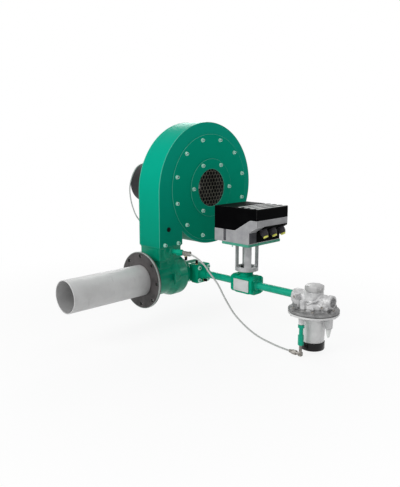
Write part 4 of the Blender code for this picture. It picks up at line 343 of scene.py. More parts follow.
# A darker copy of the turned aluminium for the up-facing top cap: painted shade.
CAP_SHADED = turned_metal("cap_shaded_aluminium", (188, 188, 188), (160, 160, 160), 0.42, 'Z', REGULATOR_AT, 0.3)
SHAFT = turned_metal("shaft_steel", (170, 170, 168), (140, 139, 136), 0.3, 'Y', hub(0), 0.9)
# Dark green for the bolts' dished crowns: painted shade.
CROWN = zinc("bolt_crown", (60, 118, 106), (44, 94, 84))
BRASS = zinc("brass", (184, 166, 120), (150, 134, 98))
NICKEL = zinc("nickel_plating", (158, 154, 148), (112, 106, 100))
BLACK = moulded("black_plastic", (4, 4, 5), (7, 7, 8), 0.4, level=0.012)
# Pale grey for the black cover's rounded rims: painted highlight along the edges.
EDGE_HIGHLIGHT = moulded("edge_highlight", (88, 90, 90), (66, 68, 68), 0.4, level=0.2)
GLAND = moulded("gland_plastic", (58, 55, 60), (36, 34, 38), 0.35, level=0.15)
GLOSSY = moulded("glossy_cap", (12, 12, 13), (20, 20, 21), 0.18, 500, 0.25, 0.1)
RUBBER = moulded("rubber", (9, 9, 10), (18, 18, 18), 0.55, 700, 0.08)
MOTOR = cast_paint("motor_enamel", (26, 27, 28), (34, 35, 36), 0.4, 0.15)
YELLOW = moulded("yellow_plastic", (232, 232, 96), (214, 216, 60), 0.35, level=0.3)
WHITE = moulded("white_plastic", (238, 240, 238), (226, 228, 226), 0.4, level=0.3)
POINTER = moulded("pointer_grey", (112, 128, 122), (90, 104, 99), 0.3, level=0.3)
TUBING = moulded("grey_tubing", (186, 188, 186), (180, 182, 180), 0.35, 300, 0.2, 0.0)
# Near black: own colour of the cage screws, and painted shade on the inlet cone, impeller and drive that sit
# inside.
DARK = turned_metal("dark_sheet", (12, 13, 13), (8, 8, 9), 0.6, 'Y', hub(0), 0.1)
SCREEN = moulded("screen_steel", (122, 122, 112), (92, 92, 84), 0.4, 400, 0.1, 0.1)
# Pale grey for the tops of the cover's ridges: painted highlight.
RIDGE_HIGHLIGHT = moulded("ridge_highlight", (200, 202, 201), (166, 168, 167), 0.3, level=0.3)
# Dark grey for the sheets on the actuator base's front and in its recesses: painted shade.
HOLLOW = moulded("shaded_casting", (86, 86, 90), (64, 64, 68), 0.6, level=0.1)
CERAMIC = moulded("ceramic", (236, 232, 222), (226, 220, 206), 0.2, 300, 0.6, 0.05)
LABEL = moulded("bare_plate", (206, 208, 208), (196, 198, 198), 0.4, 600, 0.4, 0.08)

# The material slot that each finish stands for
SLOTS = {
    "green_paint": (GREEN, GREEN_COVER, GREEN_RING, GREEN_CAST, GREEN_BLOCK, GREEN_PIPE, GREEN_LIP),
    "tube_steel": (STEEL,),
    "dark_steel": (FLANGE_STEEL, RIM_HIGHLIGHT, SCREEN, DARK),
    "plated_steel": (ZINC, NICKEL, LABEL),
    "cast_aluminium": (CASTING, CASTING_PALE, CAGE, TURNED, CAP_SHADED, HOLLOW),
    "black_plastic": (BLACK, GLAND, GLOSSY, RIDGE_HIGHLIGHT),
    "black_rubber": (RUBBER,),
    "motor_paint": (MOTOR,),
    "brass": (BRASS,),
    "yellow_plastic": (YELLOW,),
    "white_plastic": (WHITE, POINTER),
}


def linked(name, data):
    """A new object of the scene with this data."""
    obj = bpy.data.objects.new(name, data)
    bpy.context.collection.objects.link(obj)
    return obj


def camera():
    """Viewing place and angle of the photograph."""
    forward = Vector((0.70073, 0.68944, -0.18342))
    right = Vector((0.70134, -0.71283, 0.0))
    up = Vector((0.13075, 0.12864, 0.98303))
    data = bpy.data.cameras.new("camera")
    data.sensor_fit = 'VERTICAL'
    data.sensor_height = 36
    data.lens = 41.32
    obj = linked("camera", data)
    turn = Matrix((right, up, -forward)).transposed().to_4x4()
    obj.matrix_world = Matrix.Translation((-1.2762, -1.5649, 0.5125)) @ turn
    bpy.context.scene.camera = obj


def smooth_route(points, spacing):
    """Points at an even spacing on a smooth curve through the given ones."""
    knots = [Vector(p) for p in points]
    knots = [2 * knots[0] - knots[1]] + knots + [2 * knots[-1] - knots[-2]]
    dense = []
    parts = 24
    for a, b, c, d in zip(knots, knots[1:], knots[2:], knots[3:]):
        for i in range(parts):
            t = i / parts
            dense.append(0.5 * (2 * b + (c - a) * t + (2 * a - 5 * b + 4 * c - d) * t * t
                                + (3 * b - a - 3 * c + d) * t ** 3))
    dense.append(knots[-2])
    steps = [(q - p).length for p, q in zip(dense, dense[1:])]
    count = max(2, ceil(sum(steps) / spacing))
    route = [dense[0]]
    walked = 0.0
    for p, q, step in zip(dense, dense[1:], steps):
        while walked + step >= len(route) * sum(steps) / count and len(route) < count:
            share = (len(route) * sum(steps) / count - walked) / step
            route.append(p.lerp(q, share))
        walked += step
    route.append(dense[-1])
    return route


def line(name, points, radius, node):
    """A thin tube or cable as one open spline through the given points."""
    route = smooth_route(points, spacing=6)
    curve = bpy.data.curves.new(name, 'CURVE')
    curve.dimensions = '3D'
    curve.bevel_depth = radius * MM
    curve.bevel_resolution = 5
    curve.use_fill_caps = True
    spline = curve.splines.new('POLY')
    spline.points.add(len(route) - 1)
    for point, co in zip(spline.points, route):
        point.co = (*(co * MM), 1)
    spline.use_smooth = True
    curve.materials.append(TUBING)
    obj = linked(name, curve)
    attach(obj, "burner")
    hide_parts(node)
    length = sum((q - p).length for p, q in zip(route, route[1:])) * MM
    tuple(route[0] * MM)


def impulse_tube():
    """Thin tube from the tee on the burner body down to the elbow under the regulator."""
    route = [(105, -148.9, 104), (105, -154.9, 104), (105, -160.9, 104), (109.9, -186.1, 93.9),
             (115.2, -215.9, 74), (118.6, -235.3, 52.6), (122.3, -255.7, 30.8), (125.9, -276.1, 8),
             (131, -304.6, -37.1), (137.5, -341.7, -84.9), (145.7, -387.6, -121.7), (153.6, -432.3, -145.6),
             (161.4, -475.8, -158.8), (168.9, -518.2, -167.8), (174.8, -547, -172), (174.8, -554, -172),
             (174.8, -561, -172)]
    line("impulse_line", route, 3, "impulse_tube")


def motor_cable():
    """Cable from the terminal box round the back of the blower to its gland."""
    route = [(240.35, 172.5, 429.9), (220.35, 172.5, 427.9), (148.2, 176, 410.2), (114.6, 171, 380.7),
             (93.5, 164, 344.6), (82.5, 155, 310.9), (78.6, 143, 275.1), (77.4, 131, 250.6), (80, 112, 217.9),
             (110.2, 89.1, 168), (110.2, 73.1, 162)]
    line("motor_lead", route, 2.5, "motor_cable")


def placed(bm, at, axis):
    """Turn a shape's Z to an axis, given by name or as a vector, and move it to its place."""
    if isinstance(axis, Vector):
        turn = axis.to_track_quat('Z', 'Y').to_matrix().to_4x4()
    else:
        turn = Euler(AXES[axis]).to_matrix().to_4x4()
    bmesh.ops.transform(bm, matrix=Matrix.Translation(at) @ turn, verts=bm.verts)
    return bm


def turned(profile, at=(0, 0, 0), axis='Z', steps=72):
    """Spin a profile of (radius, height). One that starts on the axis makes a solid, else a ring."""
    bm = bmesh.new()
    verts = [bm.verts.new((r, 0, z)) for r, z in profile]
    for a, b in zip(verts, verts[1:]):
        bm.edges.new((a, b))
    if min(profile[0][0], profile[-1][0]) > 0:
        bm.edges.new((verts[-1], verts[0]))
    bmesh.ops.spin(bm, geom=bm.verts[:] + bm.edges[:], cent=(0, 0, 0), axis=(0, 0, 1), angle=2 * pi,
                   steps=steps, use_merge=True)
    bmesh.ops.remove_doubles(bm, verts=bm.verts, dist=0.001)
    bmesh.ops.recalc_face_normals(bm, faces=bm.faces)
    return placed(bm, at, axis)


def cylinder(bm, radius, length, base, steps, top=None, turn=0.0):
    """Add a cylinder, or a cone with another radius at its top, that stands at a height."""
    place = Matrix.Translation((0, 0, base + length / 2)) @ Matrix.Rotation(turn, 4, 'Z')
    return bmesh.ops.create_cone(bm, cap_ends=True, segments=steps, radius1=radius,
                                 radius2=radius if top is None else top, depth=length, matrix=place)


def rounded(bm, geom, offset, segments=2, affect='EDGES'):
    """Round edges or corners."""
    bmesh.ops.bevel(bm, geom=geom, offset=offset, segments=segments, profile=0.5, affect=affect, material=-1)


def pushed(bm, geom, way):
    """Move the corners that an extrusion gives."""
    bmesh.ops.translate(bm, vec=way, verts=[v for v in geom if isinstance(v, bmesh.types.BMVert)])


def rod(radius, length, at, axis, steps=32, chamfer=0.0):
    """A round bar that starts at a place, with its rims rounded if wanted."""
    bm = bmesh.new()
    cylinder(bm, radius, length, 0, steps)
    if chamfer:
        rounded(bm, [e for e in bm.edges if abs(e.verts[0].co.z - e.verts[1].co.z) < 0.001], chamfer)
    return placed(bm, at, axis)


def block(low, high, bevel=0.0, along=None, segments=3):
    """A box between two corners, with its edges, or only those along one axis, rounded."""
    bm = bmesh.new()
    bmesh.ops.create_cube(bm, size=1)
    bmesh.ops.scale(bm, vec=Vector(high) - Vector(low), verts=bm.verts)
    if bevel:
        edges = [e for e in bm.edges if along is None or abs((e.verts[0].co - e.verts[1].co)[along]) > 0.01]
        rounded(bm, edges, bevel, segments)
    bmesh.ops.translate(bm, vec=(Vector(low) + Vector(high)) / 2, verts=bm.verts)
    return bm


def plate(outline, thickness, at, axis, holes=(), corner=0.0, steps=128):
    """A flat plate from a radius or from corner points, with round or six sided holes (x, y, radius, sides)."""
    bm = bmesh.new()
    if isinstance(outline, (int, float)):
        bmesh.ops.create_circle(bm, segments=steps, radius=outline)
    else:
        verts = [bm.verts.new((x, y, 0)) for x, y in outline]
        bm.faces.new(verts)
        if corner:
            rounded(bm, verts, corner, 6, 'VERTICES')
        bmesh.ops.delete(bm, geom=bm.faces[:], context='FACES_ONLY')
    for x, y, radius, sides in holes:
        turn = Matrix.Translation((x, y, 0)) @ Matrix.Rotation(pi / 6, 4, 'Z')
        bmesh.ops.create_circle(bm, segments=sides, radius=radius, matrix=turn)
    bmesh.ops.triangle_fill(bm, use_beauty=True, edges=bm.edges[:])
    pushed(bm, bmesh.ops.extrude_face_region(bm, geom=bm.faces[:])['geom'], (0, 0, thickness))
    bmesh.ops.recalc_face_normals(bm, faces=bm.faces)
    return placed(bm, at, axis)


def together(*shapes):
    """Shells put in one mesh."""
    whole = bmesh.new()
    for bm in shapes:
        mesh = bpy.data.meshes.new("shell")
        bm.to_mesh(mesh)
        bm.free()
        whole.from_mesh(mesh)
        bpy.data.meshes.remove(mesh)
    return whole


def worked(bm, kind, **settings):
    """Apply a modifier to a shape."""
    mesh = bpy.data.meshes.new("shape")
    bm.to_mesh(mesh)
    bm.free()
    obj = linked("shape", mesh)
    modifier = obj.modifiers.new(kind.title(), kind)
    for key, value in settings.items():
        setattr(modifier, key, value)
    bpy.context.view_layer.update()
    done = bpy.data.meshes.new_from_object(obj.evaluated_get(bpy.context.evaluated_depsgraph_get()))
    bpy.data.objects.remove(obj)
    shaped = bmesh.new()
    shaped.from_mesh(done)
    return shaped


def cut(bm, *cutters):
    """Take cutters out of a shape, one after the other."""
    for cutter in cutters:
        mesh = bpy.data.meshes.new("tool")
        cutter.to_mesh(mesh)
        cutter.free()
        tool = linked("tool", mesh)
        bm = worked(bm, 'BOOLEAN', operation='DIFFERENCE', solver='EXACT', object=tool)
        bpy.data.objects.remove(tool)
    return bm


def cast(bm, voxel, rounds):
    """Melt overlapping shells into one casting with soft fillets."""
    bm = worked(bm, 'REMESH', mode='VOXEL', voxel_size=voxel, use_smooth_shade=True)
    for _ in range(rounds):
        bmesh.ops.smooth_vert(bm, verts=bm.verts, factor=0.5, use_axis_x=True, use_axis_y=True, use_axis_z=True)
    return bm


def piece(name, bm, material, node=None, body="burner", slot=None, bevel=0.0, edge=None, segments=2):
    """Finish a shape as a piece of the burner that rides on a body and stands for its node."""
    bmesh.ops.recalc_face_normals(bm, faces=bm.faces)
    bmesh.ops.scale(bm, vec=(MM, MM, MM), verts=bm.verts)
    mesh = bpy.data.meshes.new(name)
    bm.to_mesh(mesh)
    bm.free()
    mesh.materials.append(material)
    # The second finish goes on the bevelled rims and on bolt crowns, where it paints a highlight or a shade.
    if edge:
        mesh.materials.append(edge)
    mesh.shade_smooth()
    mesh.set_sharp_from_angle(angle=STEEP)
    obj = linked(name, mesh)
    if bevel:
        modifier = obj.modifiers.new("Edges", 'BEVEL')
        modifier.width = bevel * MM
        modifier.segments = segments
        modifier.limit_method = 'ANGLE'
        modifier.angle_limit = STEEP
        modifier.harden_normals = True
        modifier.material = 1 if edge else -1
    if body:
        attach(obj, body)
    if node:
        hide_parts(node)
    slot or next(key for key, finishes in SLOTS.items() if material in finishes)
    return obj


def bolted(name, node, heads):
    """A set of bolts as one piece of the node that they hold."""
    piece(name, together(*heads), ZINC, node, edge=CROWN)


def square(half, x=0.0):
    """Corners of a square plate."""
    return [(x - half, -half), (x + half, -half), (x + half, half), (x - half, half)]


def ring_places(radius, count, start=0.0):
    """Places at an even spacing on a circle."""
    return [(radius * cos(start + 2 * pi * i / count), radius * sin(start + 2 * pi * i / count))
            for i in range(count)]


def hexagon_bolt(at, axis, flats, head, washer=0.0, tip=0.0, turn=0.2):
    """Hexagon head with a chamfered crown on its washer, standing on a place."""
    bm = bmesh.new()
    across = flats / sqrt(3)
    rise = 1.4 if washer else 0.0
    if washer:
        cylinder(bm, washer, rise, 0, 24)
    crown = cylinder(bm, across, head - rise, rise, 6, turn=turn)
    top = [v for v in crown['verts'] if v.co.z > head - 0.01]
    rounded(bm, list({e for v in top for e in v.link_edges if e.other_vert(v) in top}), 0.7)
    if tip:
        cylinder(bm, flats * 0.31, tip, head, 16, flats * 0.27)
    else:
        level = [f for f in bm.faces if min(v.co.z for v in f.verts) > head - 0.01]
        face = max(level, key=lambda f: f.calc_area())
        bmesh.ops.inset_individual(bm, faces=[face], thickness=across * 0.2)
        bmesh.ops.translate(bm, vec=(0, 0, -0.4), verts=face.verts)
        # The dished crown takes the second finish, a painted shade.
        face.material_index = 1
    return placed(bm, at, axis)


def socket_screw(at, axis, radius, head):
    """Cylinder head screw with a hexagon socket."""
    bm = bmesh.new()
    cylinder(bm, radius, head, 0, 20)
    rounded(bm, [e for e in bm.edges if min(v.co.z for v in e.verts) > head - 0.01], 0.5)
    crown = max(bm.faces, key=lambda face: (round(face.calc_center_median().z, 3), face.calc_area()))
    bmesh.ops.inset_individual(bm, faces=[crown], thickness=radius * 0.4)
    bmesh.ops.translate(bm, vec=(0, 0, -0.6 * head), verts=crown.verts)
    return placed(bm, at, axis)


def combustion_tube():
    """Tube that the flame burns in, with its free end broken to a soft edge."""
    profile = [(57.15, -320.2), (57.15, 10), (54.15, 10), (54.15, -320.2), (54.75, -321), (56.4, -321)]
    piece("flame_tube", turned(profile, axis='X', steps=128), STEEL, "combustion_tube")


def mounting_flange():
    """Round flange with eight holes and its rim: the rim's front half is paler as painted highlight, its back
    half keeps the flange's dark colour.
    """
    holes = [(y, z, 6.3, 28) for y, z in ring_places(90.7, 8, pi / 2)]
    ring = plate(103.2, 10, (0, 0, 0), 'X', [(0, 0, 57.75, 96)] + holes, steps=160)
    piece("furnace_flange", ring, FLANGE_STEEL, "mounting_flange", bevel=0.8)
    # The rim's front half is paler as painted highlight.
    rim = [(103.4, 0), (105.1, 0), (106, 0.9), (106, 5.4), (103.4, 5.4)]
    piece("flange_rim", turned(rim, axis='X', steps=160), RIM_HIGHLIGHT, "mounting_flange")
    back = [(103.4, 5.6), (105.6, 5.6), (105.6, 9.2), (104.9, 10), (103.4, 10)]
    piece("flange_back", turned(back, axis='X', steps=160), FLANGE_STEEL, "mounting_flange")


def burner_body():
    """Casting with its pad, throat, drum and air neck, and ribs between them."""
    drum = [(0, 10.3), (80, 10.3), (80, 20.3), (66, 20.3), (69, 98), (74, 114), (80.5, 130), (80.5, 166),
            (79, 172), (75, 178), (68, 183), (60, 187), (60, 195), (0, 195)]
    ribs = [block((20, y - 3, -62), (120, y + 3, 20), 1) for y in (-30, 22)]
    shape = together(turned(drum, axis='X', steps=96),
                     block((44.5, -59, 70), (153, 49, 144), 5, 2, 4),
                     block((48, -55, 10), (150, 46, 80), 6, 2, 4),
                     block((43, -61, 118.6), (155.6, 51, 123.6), 4, 2, 4),
                     *ribs,
                     rod(25, 5, (92, -57, 100), '-Y', 48),
                     rod(13, 18, (105, -50, 104), '-Y', 32),
                     rod(17, 6, (112, -77, 6), '-Y', 32),
                     block((97, -86, -22), (103, -78, 30), 2.5),
                     block((88, -58, 60), (122, -50, 118), 4, 1))
    shape = cast(shape, 1.7, 5)
    hollow = turned([(0, 9), (54.3, 9), (54.3, 24), (62, 94), (74, 132), (74, 162), (44, 186), (44, 200),
                     (0, 200)], axis='X', steps=64)
    channel = block((54, -49, 30), (144, 40, 150))
    shape = cut(shape, hollow, channel)
    piece("air_casting", shape, GREEN_CAST, "burner_body")
    screws = [hexagon_bolt((20.3, y, z), 'X', 10, 4.4, 6.5) for y, z in ring_places(73, 4, radians(42))]
    bolted("casting_screws", "burner_body", screws)


def gas_housing():
    """Casting that the gas enters, and the sight cover on its end."""
    profile = [(0, 195.3), (57, 195.3), (57, 203.3), (41, 203.6), (37, 206), (35, 210), (35, 282.6), (0, 282.6)]
    shape = together(turned(profile, axis='X', steps=72),
                     block((207.6, -40, -36), (279.6, -26, 36), 3, 1),
                     block((214, -34, -29), (273, 0, 29), 6, 1))
    shape = cast(shape, 1.2, 3)
    bore = rod(26, 90, (207, 0, 0), 'X', 48)
    shape = cut(shape, bore)
    piece("gas_casting", shape, GREEN_BLOCK, "gas_housing")
    screws = [hexagon_bolt((203.3, y, z), 'X', 10, 4.4, 6) for y, z in ring_places(51.5, 6, pi / 6)]
    bolted("housing_screws", "gas_housing", screws)
    cap = [(6, 282.9), (35, 282.9), (35, 289.4), (33.5, 290.9), (14, 290.9), (12, 292), (12, 302.9),
           (10.5, 304.9), (8, 304.9), (8, 294.9), (6, 294.9)]
    cover = cut(turned(cap, axis='X', steps=64), *[rod(3.8, 30, (280, y, 0), 'X', 20) for y in (-20, 20)])
    piece("sight_cover", cover, GREEN_BLOCK, "rear_cover")
    screws = [hexagon_bolt((290.9, y, z), 'X', 8, 3.5) for y, z in ring_places(30.5, 4, pi / 4)]
    bolted("cover_screws", "rear_cover", screws)


def scroll(inset, bottom):
    """Side view of the blower: a spiral from the tongue to the left wall, and the straight outlet."""
    left, right = OUTLET[0] + inset, OUTLET[1] - inset
    base = 217.4 - inset
    start = -pi + acos((BLOWER[0] - right) / base)
    points = [(left, bottom), (right, bottom)]
    count = 110
    for i in range(count + 1):
        angle = start + (pi - start) * i / count
        radius = base + 16.25 * max(0, (angle + pi / 2) / (pi / 2))
        points.append((BLOWER[0] + radius * cos(angle), BLOWER[1] + radius * sin(angle)))
    return points


def blower_housing():
    """Two cut sheets and the rolled band between them, welded along their rims."""
    outline = scroll(0, OUTLET_Z)
    front = plate(outline, SHEET, (0, FRONT_Y + SHEET, 0), '-Y', [(*BLOWER, 176, 96), (87.2, 186, 6.3, 20)])
    back = plate(outline, SHEET, (0, BACK_Y, 0), '-Y', [(*BLOWER, 45, 64), (110.2, 162, 4.5, 20)])
    band = bmesh.new()
    outer = scroll(0.7, OUTLET_Z)
    lap = 2.9
    verts = [band.verts.new((x, FRONT_Y + lap, z)) for x, z in outer[1:] + outer[:1]]
    edges = [band.edges.new(pair) for pair in zip(verts, verts[1:])]
    pushed(band, bmesh.ops.extrude_edge_only(band, edges=edges)['geom'], (0, BACK_Y - FRONT_Y - 2 * lap, 0))
    bmesh.ops.recalc_face_normals(band, faces=band.faces)
    # The band is open and its faces come in no fixed order, so all of them tell which way is out
    middle = Vector(hub(0))
    if sum(f.normal.dot(f.calc_center_median() - middle) * f.calc_area() for f in band.faces) < 0:
        bmesh.ops.reverse_faces(band, faces=band.faces)
    band = worked(band, 'SOLIDIFY', thickness=SHEET, offset=-1, use_even_offset=True)
    piece("blower_sheets", together(front, back), GREEN, "blower_housing", bevel=1.1, edge=GREEN_EDGE)
    piece("blower_band", band, GREEN, "blower_housing")
    bolts = [hexagon_bolt((x, y, 130), way, *BLOWER_BOLT)
             for y, way in ((FRONT_Y, '-Y'), (BACK_Y, 'Y')) for x in (67, 134)]
    bolted("outlet_bolts", "blower_housing", bolts)
    gland = gland_shape(20, 8.2, (110.2, BACK_Y, 162), 'Y', 2.8)
    piece("housing_gland", gland, GLAND, "blower_housing")


def cover_disc(name, node, finish, y, radius, opening):
    """A round sheet in front of the blower, with an opening round its axis."""
    disc = plate(radius, SHEET, hub(y - GAP), '-Y', [(0, 0, opening, 96)])
    piece(name, disc, finish, node, bevel=0.9, edge=GREEN_EDGE)


def disc_bolts(name, node, y, places, twist):
    """Bolts through a round sheet, each turned further than the one before."""
    bolted(name, node, [hexagon_bolt((BLOWER[0] + x, y, BLOWER[1] + z), '-Y', *BLOWER_BOLT, turn=i * twist)
                        for i, (x, z) in enumerate(places)])


def inlet_covers():
    """Round inlet cover, the ring on it, and the rubber plug beside them."""
    cover_disc("round_cover", "inlet_cover", GREEN_COVER, FRONT_Y, 205, 88)
    disc_bolts("cover_bolts", "inlet_cover", COVER_Y, ring_places(187.7, 12, radians(15)), 0.4)
    cover_disc("intake_ring", "inlet_ring", GREEN_RING, COVER_Y, 112, 72.4)
    disc_bolts("ring_bolts", "inlet_ring", COVER_Y - SHEET - GAP, ring_places(99.3, 6), 0.5)
    profile = [(0, -6), (5.7, -6), (5.7, 0.3), (9, 0.3), (9, 1.3), (7.5, 2.1), (0, 2.4)]
    piece("rubber_plug", turned(profile, (87.2, FRONT_Y, 186), '-Y', 32), RUBBER, "hole_plug")


def inlet_grille():
    """Honeycomb screen in its rim, behind the inlet ring."""
    pitch, web, depth = 16.2, 2.0, 1.2
    cells = bmesh.new()
    for row in range(-6, 7):
        for column in range(-6, 7):
            x = (column + 0.5 * (row % 2)) * pitch
            y = row * pitch * sqrt(3) / 2
            if hypot(x, y) < 77:
                turn = Matrix.Translation((x, y, 0)) @ Matrix.Rotation(pi / 6, 4, 'Z')
                bmesh.ops.create_circle(cells, cap_ends=True, segments=6, radius=pitch / sqrt(3), matrix=turn)
    bmesh.ops.remove_doubles(cells, verts=cells.verts, dist=0.01)
    middles = cells.faces[:]
    bmesh.ops.inset_individual(cells, faces=middles, thickness=web / 2)
    bmesh.ops.delete(cells, geom=middles, context='FACES_ONLY')
    pushed(cells, bmesh.ops.extrude_face_region(cells, geom=cells.faces[:])['geom'], (0, 0, depth))
    bmesh.ops.recalc_face_normals(cells, faces=cells.faces)
    place = hub(COVER_Y + 1.5)
    rim = turned([(74, 0), (86.8, 0), (86.8, 1.4), (74, 1.4)], place, '-Y', 96)
    piece("honeycomb", together(placed(cells, place, '-Y'), rim), SCREEN, "inlet_grille")


def gland_shape(length, radius, at, axis, bore):
    """Cable gland: hexagon foot, ribbed dome nut and its mouth."""
    foot = [(bore, 0), (radius * 1.02, 0), (radius * 1.02, 0.28 * length), (bore, 0.28 * length)]
    nut = [(bore, 0.28 * length), (0.86 * radius, 0.28 * length), (0.86 * radius, 0.34 * length),
           (0.98 * radius, 0.37 * length), (0.98 * radius, 0.66 * length), (0.9 * radius, 0.8 * length),
           (0.78 * radius, 0.95 * length), (0.7 * radius, length), (bore, length)]
    return together(turned(foot, at, axis, 6), turned(nut, at, axis, 40))


def motor():
    """Motor behind the blower: drive end shield, finned frame with the stator's core, and fan cowl."""
    x, _, z = hub(0)
    shield = [(13.5, 52.8), (80, 52.8), (80, 60.8), (78, 62.8), (57.7, 62.8), (57.7, 66.8), (32.6, 66.8),
              (32.6, 73.8), (26.6, 73.8), (26.6, 58.5), (13.5, 58.5)]
    piece("drive_end_shield", turned(shield, hub(0), 'Y', 96), MOTOR, "motor_front_shield")
    bolts = [hexagon_bolt((x + a, BACK_Y - SHEET - GAP, z + b), '-Y', 13, 5.3, 8)
             for a, b in ring_places(65, 4, pi / 4)]
    bolted("shield_bolts", "motor_front_shield", bolts)
    outline = []
    fins = 24
    for i in range(fins):
        for radius, share in ((65, -0.36), (65, 0.36), (80.4, 0.4), (80.6, 0.44), (80.6, 0.56), (80.4, 0.6)):
            angle = (i + share) * 2 * pi / fins
            outline.append((radius * cos(angle), radius * sin(angle)))
    finned = plate(outline, 190, hub(63.1), 'Y', [(0, 0, 58, 64)])
    core = turned([(36.5, 113.6), (58.5, 113.6), (58.5, 205.6), (36.5, 205.6)], hub(0), 'Y', 48)
    piece("finned_frame", together(finned, core), MOTOR, "motor_frame", bevel=0.5, segments=1)
    cowl = [(0, 335.1), (74, 335.1), (79, 333.6), (82, 330.6), (83, 326), (83, 240), (83.3, 239.2), (83, 238.1),
            (81.5, 238.1), (81.5, 326), (76, 332.6), (0, 333.6)]
    holes = [rod(6, 12, (x + a, 328, z + b), 'Y', 20) for a, b in ring_places(30, 8) + ring_places(56, 14)]
    piece("fan_hood", cut(turned(cowl, hub(0), 'Y', 96), together(*holes)), MOTOR, "fan_cowl")


def terminal_box():
    """Wiring box on the motor, with its lid, four screws and gland."""
    box = together(block((261, 130.5, 407.9), (357, 214.5, 436.5), 4),
                   block((260, 129.5, 437.1), (358, 215.5, 451.9), 4),
                   block((261.5, 131, 436), (356.5, 214, 438)))
    piece("wiring_case", box, MOTOR, "terminal_box")
    screws = [socket_screw((309 + a, 172.5 + b, 451.2), 'Z', 3, 0.7) for b in (-34, 34) for a in (-40, 40)]
    piece("case_screws", together(*screws), ZINC, "terminal_box")
    piece("case_gland", gland_shape(20, 8.2, (261, 172.5, 429.9), '-X', 2.8), GLAND, "terminal_box")


def nipple(at, axis):
    """Hexagon foot of a test point and its ribbed spout."""
    foot = turned([(0, -3), (5.6, -3), (5.6, 3.2), (5, 4), (0, 4)], at, axis, 6)
    spout = turned([(0, 3), (3, 3), (3, 6), (2.6, 7), (3, 8), (2.6, 9), (2.5, 12.9), (0, 12.9)], at, axis, 20)
    return together(foot, spout)


def test_cap(at, axis):
    """Rubber cap over a test point."""
    profile = [(0, 13.3), (3.3, 13.3), (3.3, 4.3), (5.4, 4.3), (5.5, 6.2), (4.9, 6.8), (4.9, 14.6), (4.2, 16.2),
               (2.6, 17), (0, 17)]
    return turned(profile, at, axis, 28)


def test_points(name, node, points):
    """Nipples of a node as one piece, and a cap on each: (piece, node, place, axis)."""
    piece(name, together(*[nipple(at, axis) for _, _, at, axis in points]), BRASS, node)
    for cap, cap_node, at, axis in points:
        piece(cap, test_cap(at, axis), RUBBER, cap_node)


def gas_inlet():
    """Orifice plate, inlet flange with its hub, bolts and capped test points."""
    half = 36
    bolt = 24.5
    thin = plate(square(half, PIPE_X), 2.5, (0, -40.3, 0), '-Y', [(PIPE_X, 0, 5, 32)], 2)
    piece("metering_plate", thin, ZINC, "orifice_plate", bevel=0.3, segments=1)
    spigot = [(0, -80), (26, -80), (22, -92), (19, -100), (17, -104), (17, -113.6), (15.6, -115.1),
              (13.8, -115.1), (13.8, -97), (0, -97)]
    shape = together(block((PIPE_X - half, -90.1, -half), (PIPE_X + half, -55.1, half), 5, None, 4),
                     block((PIPE_X - 32, -60, -32), (PIPE_X + 32, -43.1, 32), 3, 1),
                     turned(spigot, (PIPE_X, 0, 0), 'Y', 64))
    piece("inlet_casting", shape, GREEN_BLOCK, "gas_inlet_flange")
    heads = [hexagon_bolt((PIPE_X + a, -90.1, b), '-Y', 13, 5.6, 8)
             for a in (-bolt, bolt) for b in (-bolt, bolt)]
    bolted("inlet_bolts", "gas_inlet_flange", heads)
    test_points("inlet_test_points", "gas_inlet_flange", [
        ("inlet_cap_top", "test_cap_inlet_top", (219.6, -75.1, 36), 'Z'),
        ("inlet_cap_front", "test_cap_inlet_front", (PIPE_X, -90.1, -26), '-Y'),
    ])


def pipe(name, node, seat, way, end, weld):
    """Gas pipe with a square flange welded on its valve end."""
    corners = square(32.8, PIPE_X)
    sign = -1
    if way == 'Y':
        corners = [(-x, z) for x, z in corners[::-1]]
        sign = 1
    thickness = 13
    bolt = 22.5
    length = abs(end - seat)
    flange = plate(corners, thickness, (0, seat, 0), way, corner=17)
    stem = turned([(10.75, 0), (13.35, 0), (13.35, length), (10.75, length)], (PIPE_X, seat, 0), way, 48)
    bead = turned([(13, 0), (18.2, 0), (17.4, 1.8), (15.2, 3.4), (13.9, 6), (13, 6)],
                  (PIPE_X, seat + sign * 12, 0), way, 48)
    piece(name, stem, GREEN_PIPE, node)
    piece(name + "_flange", flange, GREEN_BLOCK, node, bevel=1.2)
    piece(weld, bead, GREEN_PIPE, node)
    heads = [hexagon_bolt((PIPE_X + a, seat + sign * thickness, b), way, 10, 4.2, 6.4)
             for a in (-bolt, bolt) for b in (-bolt, bolt)]
    # The bolt crowns take the darker casting green as painted shade.
    piece(name + "_screws", together(*heads), GREEN_PIPE, node, edge=GREEN_CAST)


def valve():
    """Rotary gas valve with its end flanges, neck and bare type plate."""
    corners = square(33.4)
    neck = [(0, 0), (25, 0), (24, 31), (23, 37), (26, 43.7), (26, 48.7), (0, 48.7)]
    shape = together(block((PIPE_X - 31, -341, -32.5), (PIPE_X + 31, -274, 29.5), 6, None, 4),
                     plate(corners, 9, (PIPE_X, -272, 0), '-Y', corner=18),
                     plate(corners, 9, (PIPE_X, -343, 0), 'Y', corner=18),
                     turned(neck, VALVE_AT, 'Z', 64))
    shape = cut(cast(shape, 1.1, 2),
                rod(10, 90, (PIPE_X, -262, 0), '-Y', 32),
                rod(5.4, 100, VALVE_AT, 'Z', 24),
                rod(17.4, 46, (PIPE_X, VALVE_Y, -17.2), 'Z', 48))
    piece("valve_casting", shape, GREEN_BLOCK, "valve_body")
    tag = block((PIPE_X - 34.6, -342.5, -23.5), (PIPE_X - 33.2, -273.5, 19), 0.4, None, 2)
    piece("type_plate", tag, LABEL)
    rivets = [rod(1.6, 0.9, (PIPE_X - 34.2, y, z), '-X', 16, 0.3) for y in (-340, -276) for z in (-21, 16.5)]
    piece("plate_rivets", together(*rivets), ZINC)


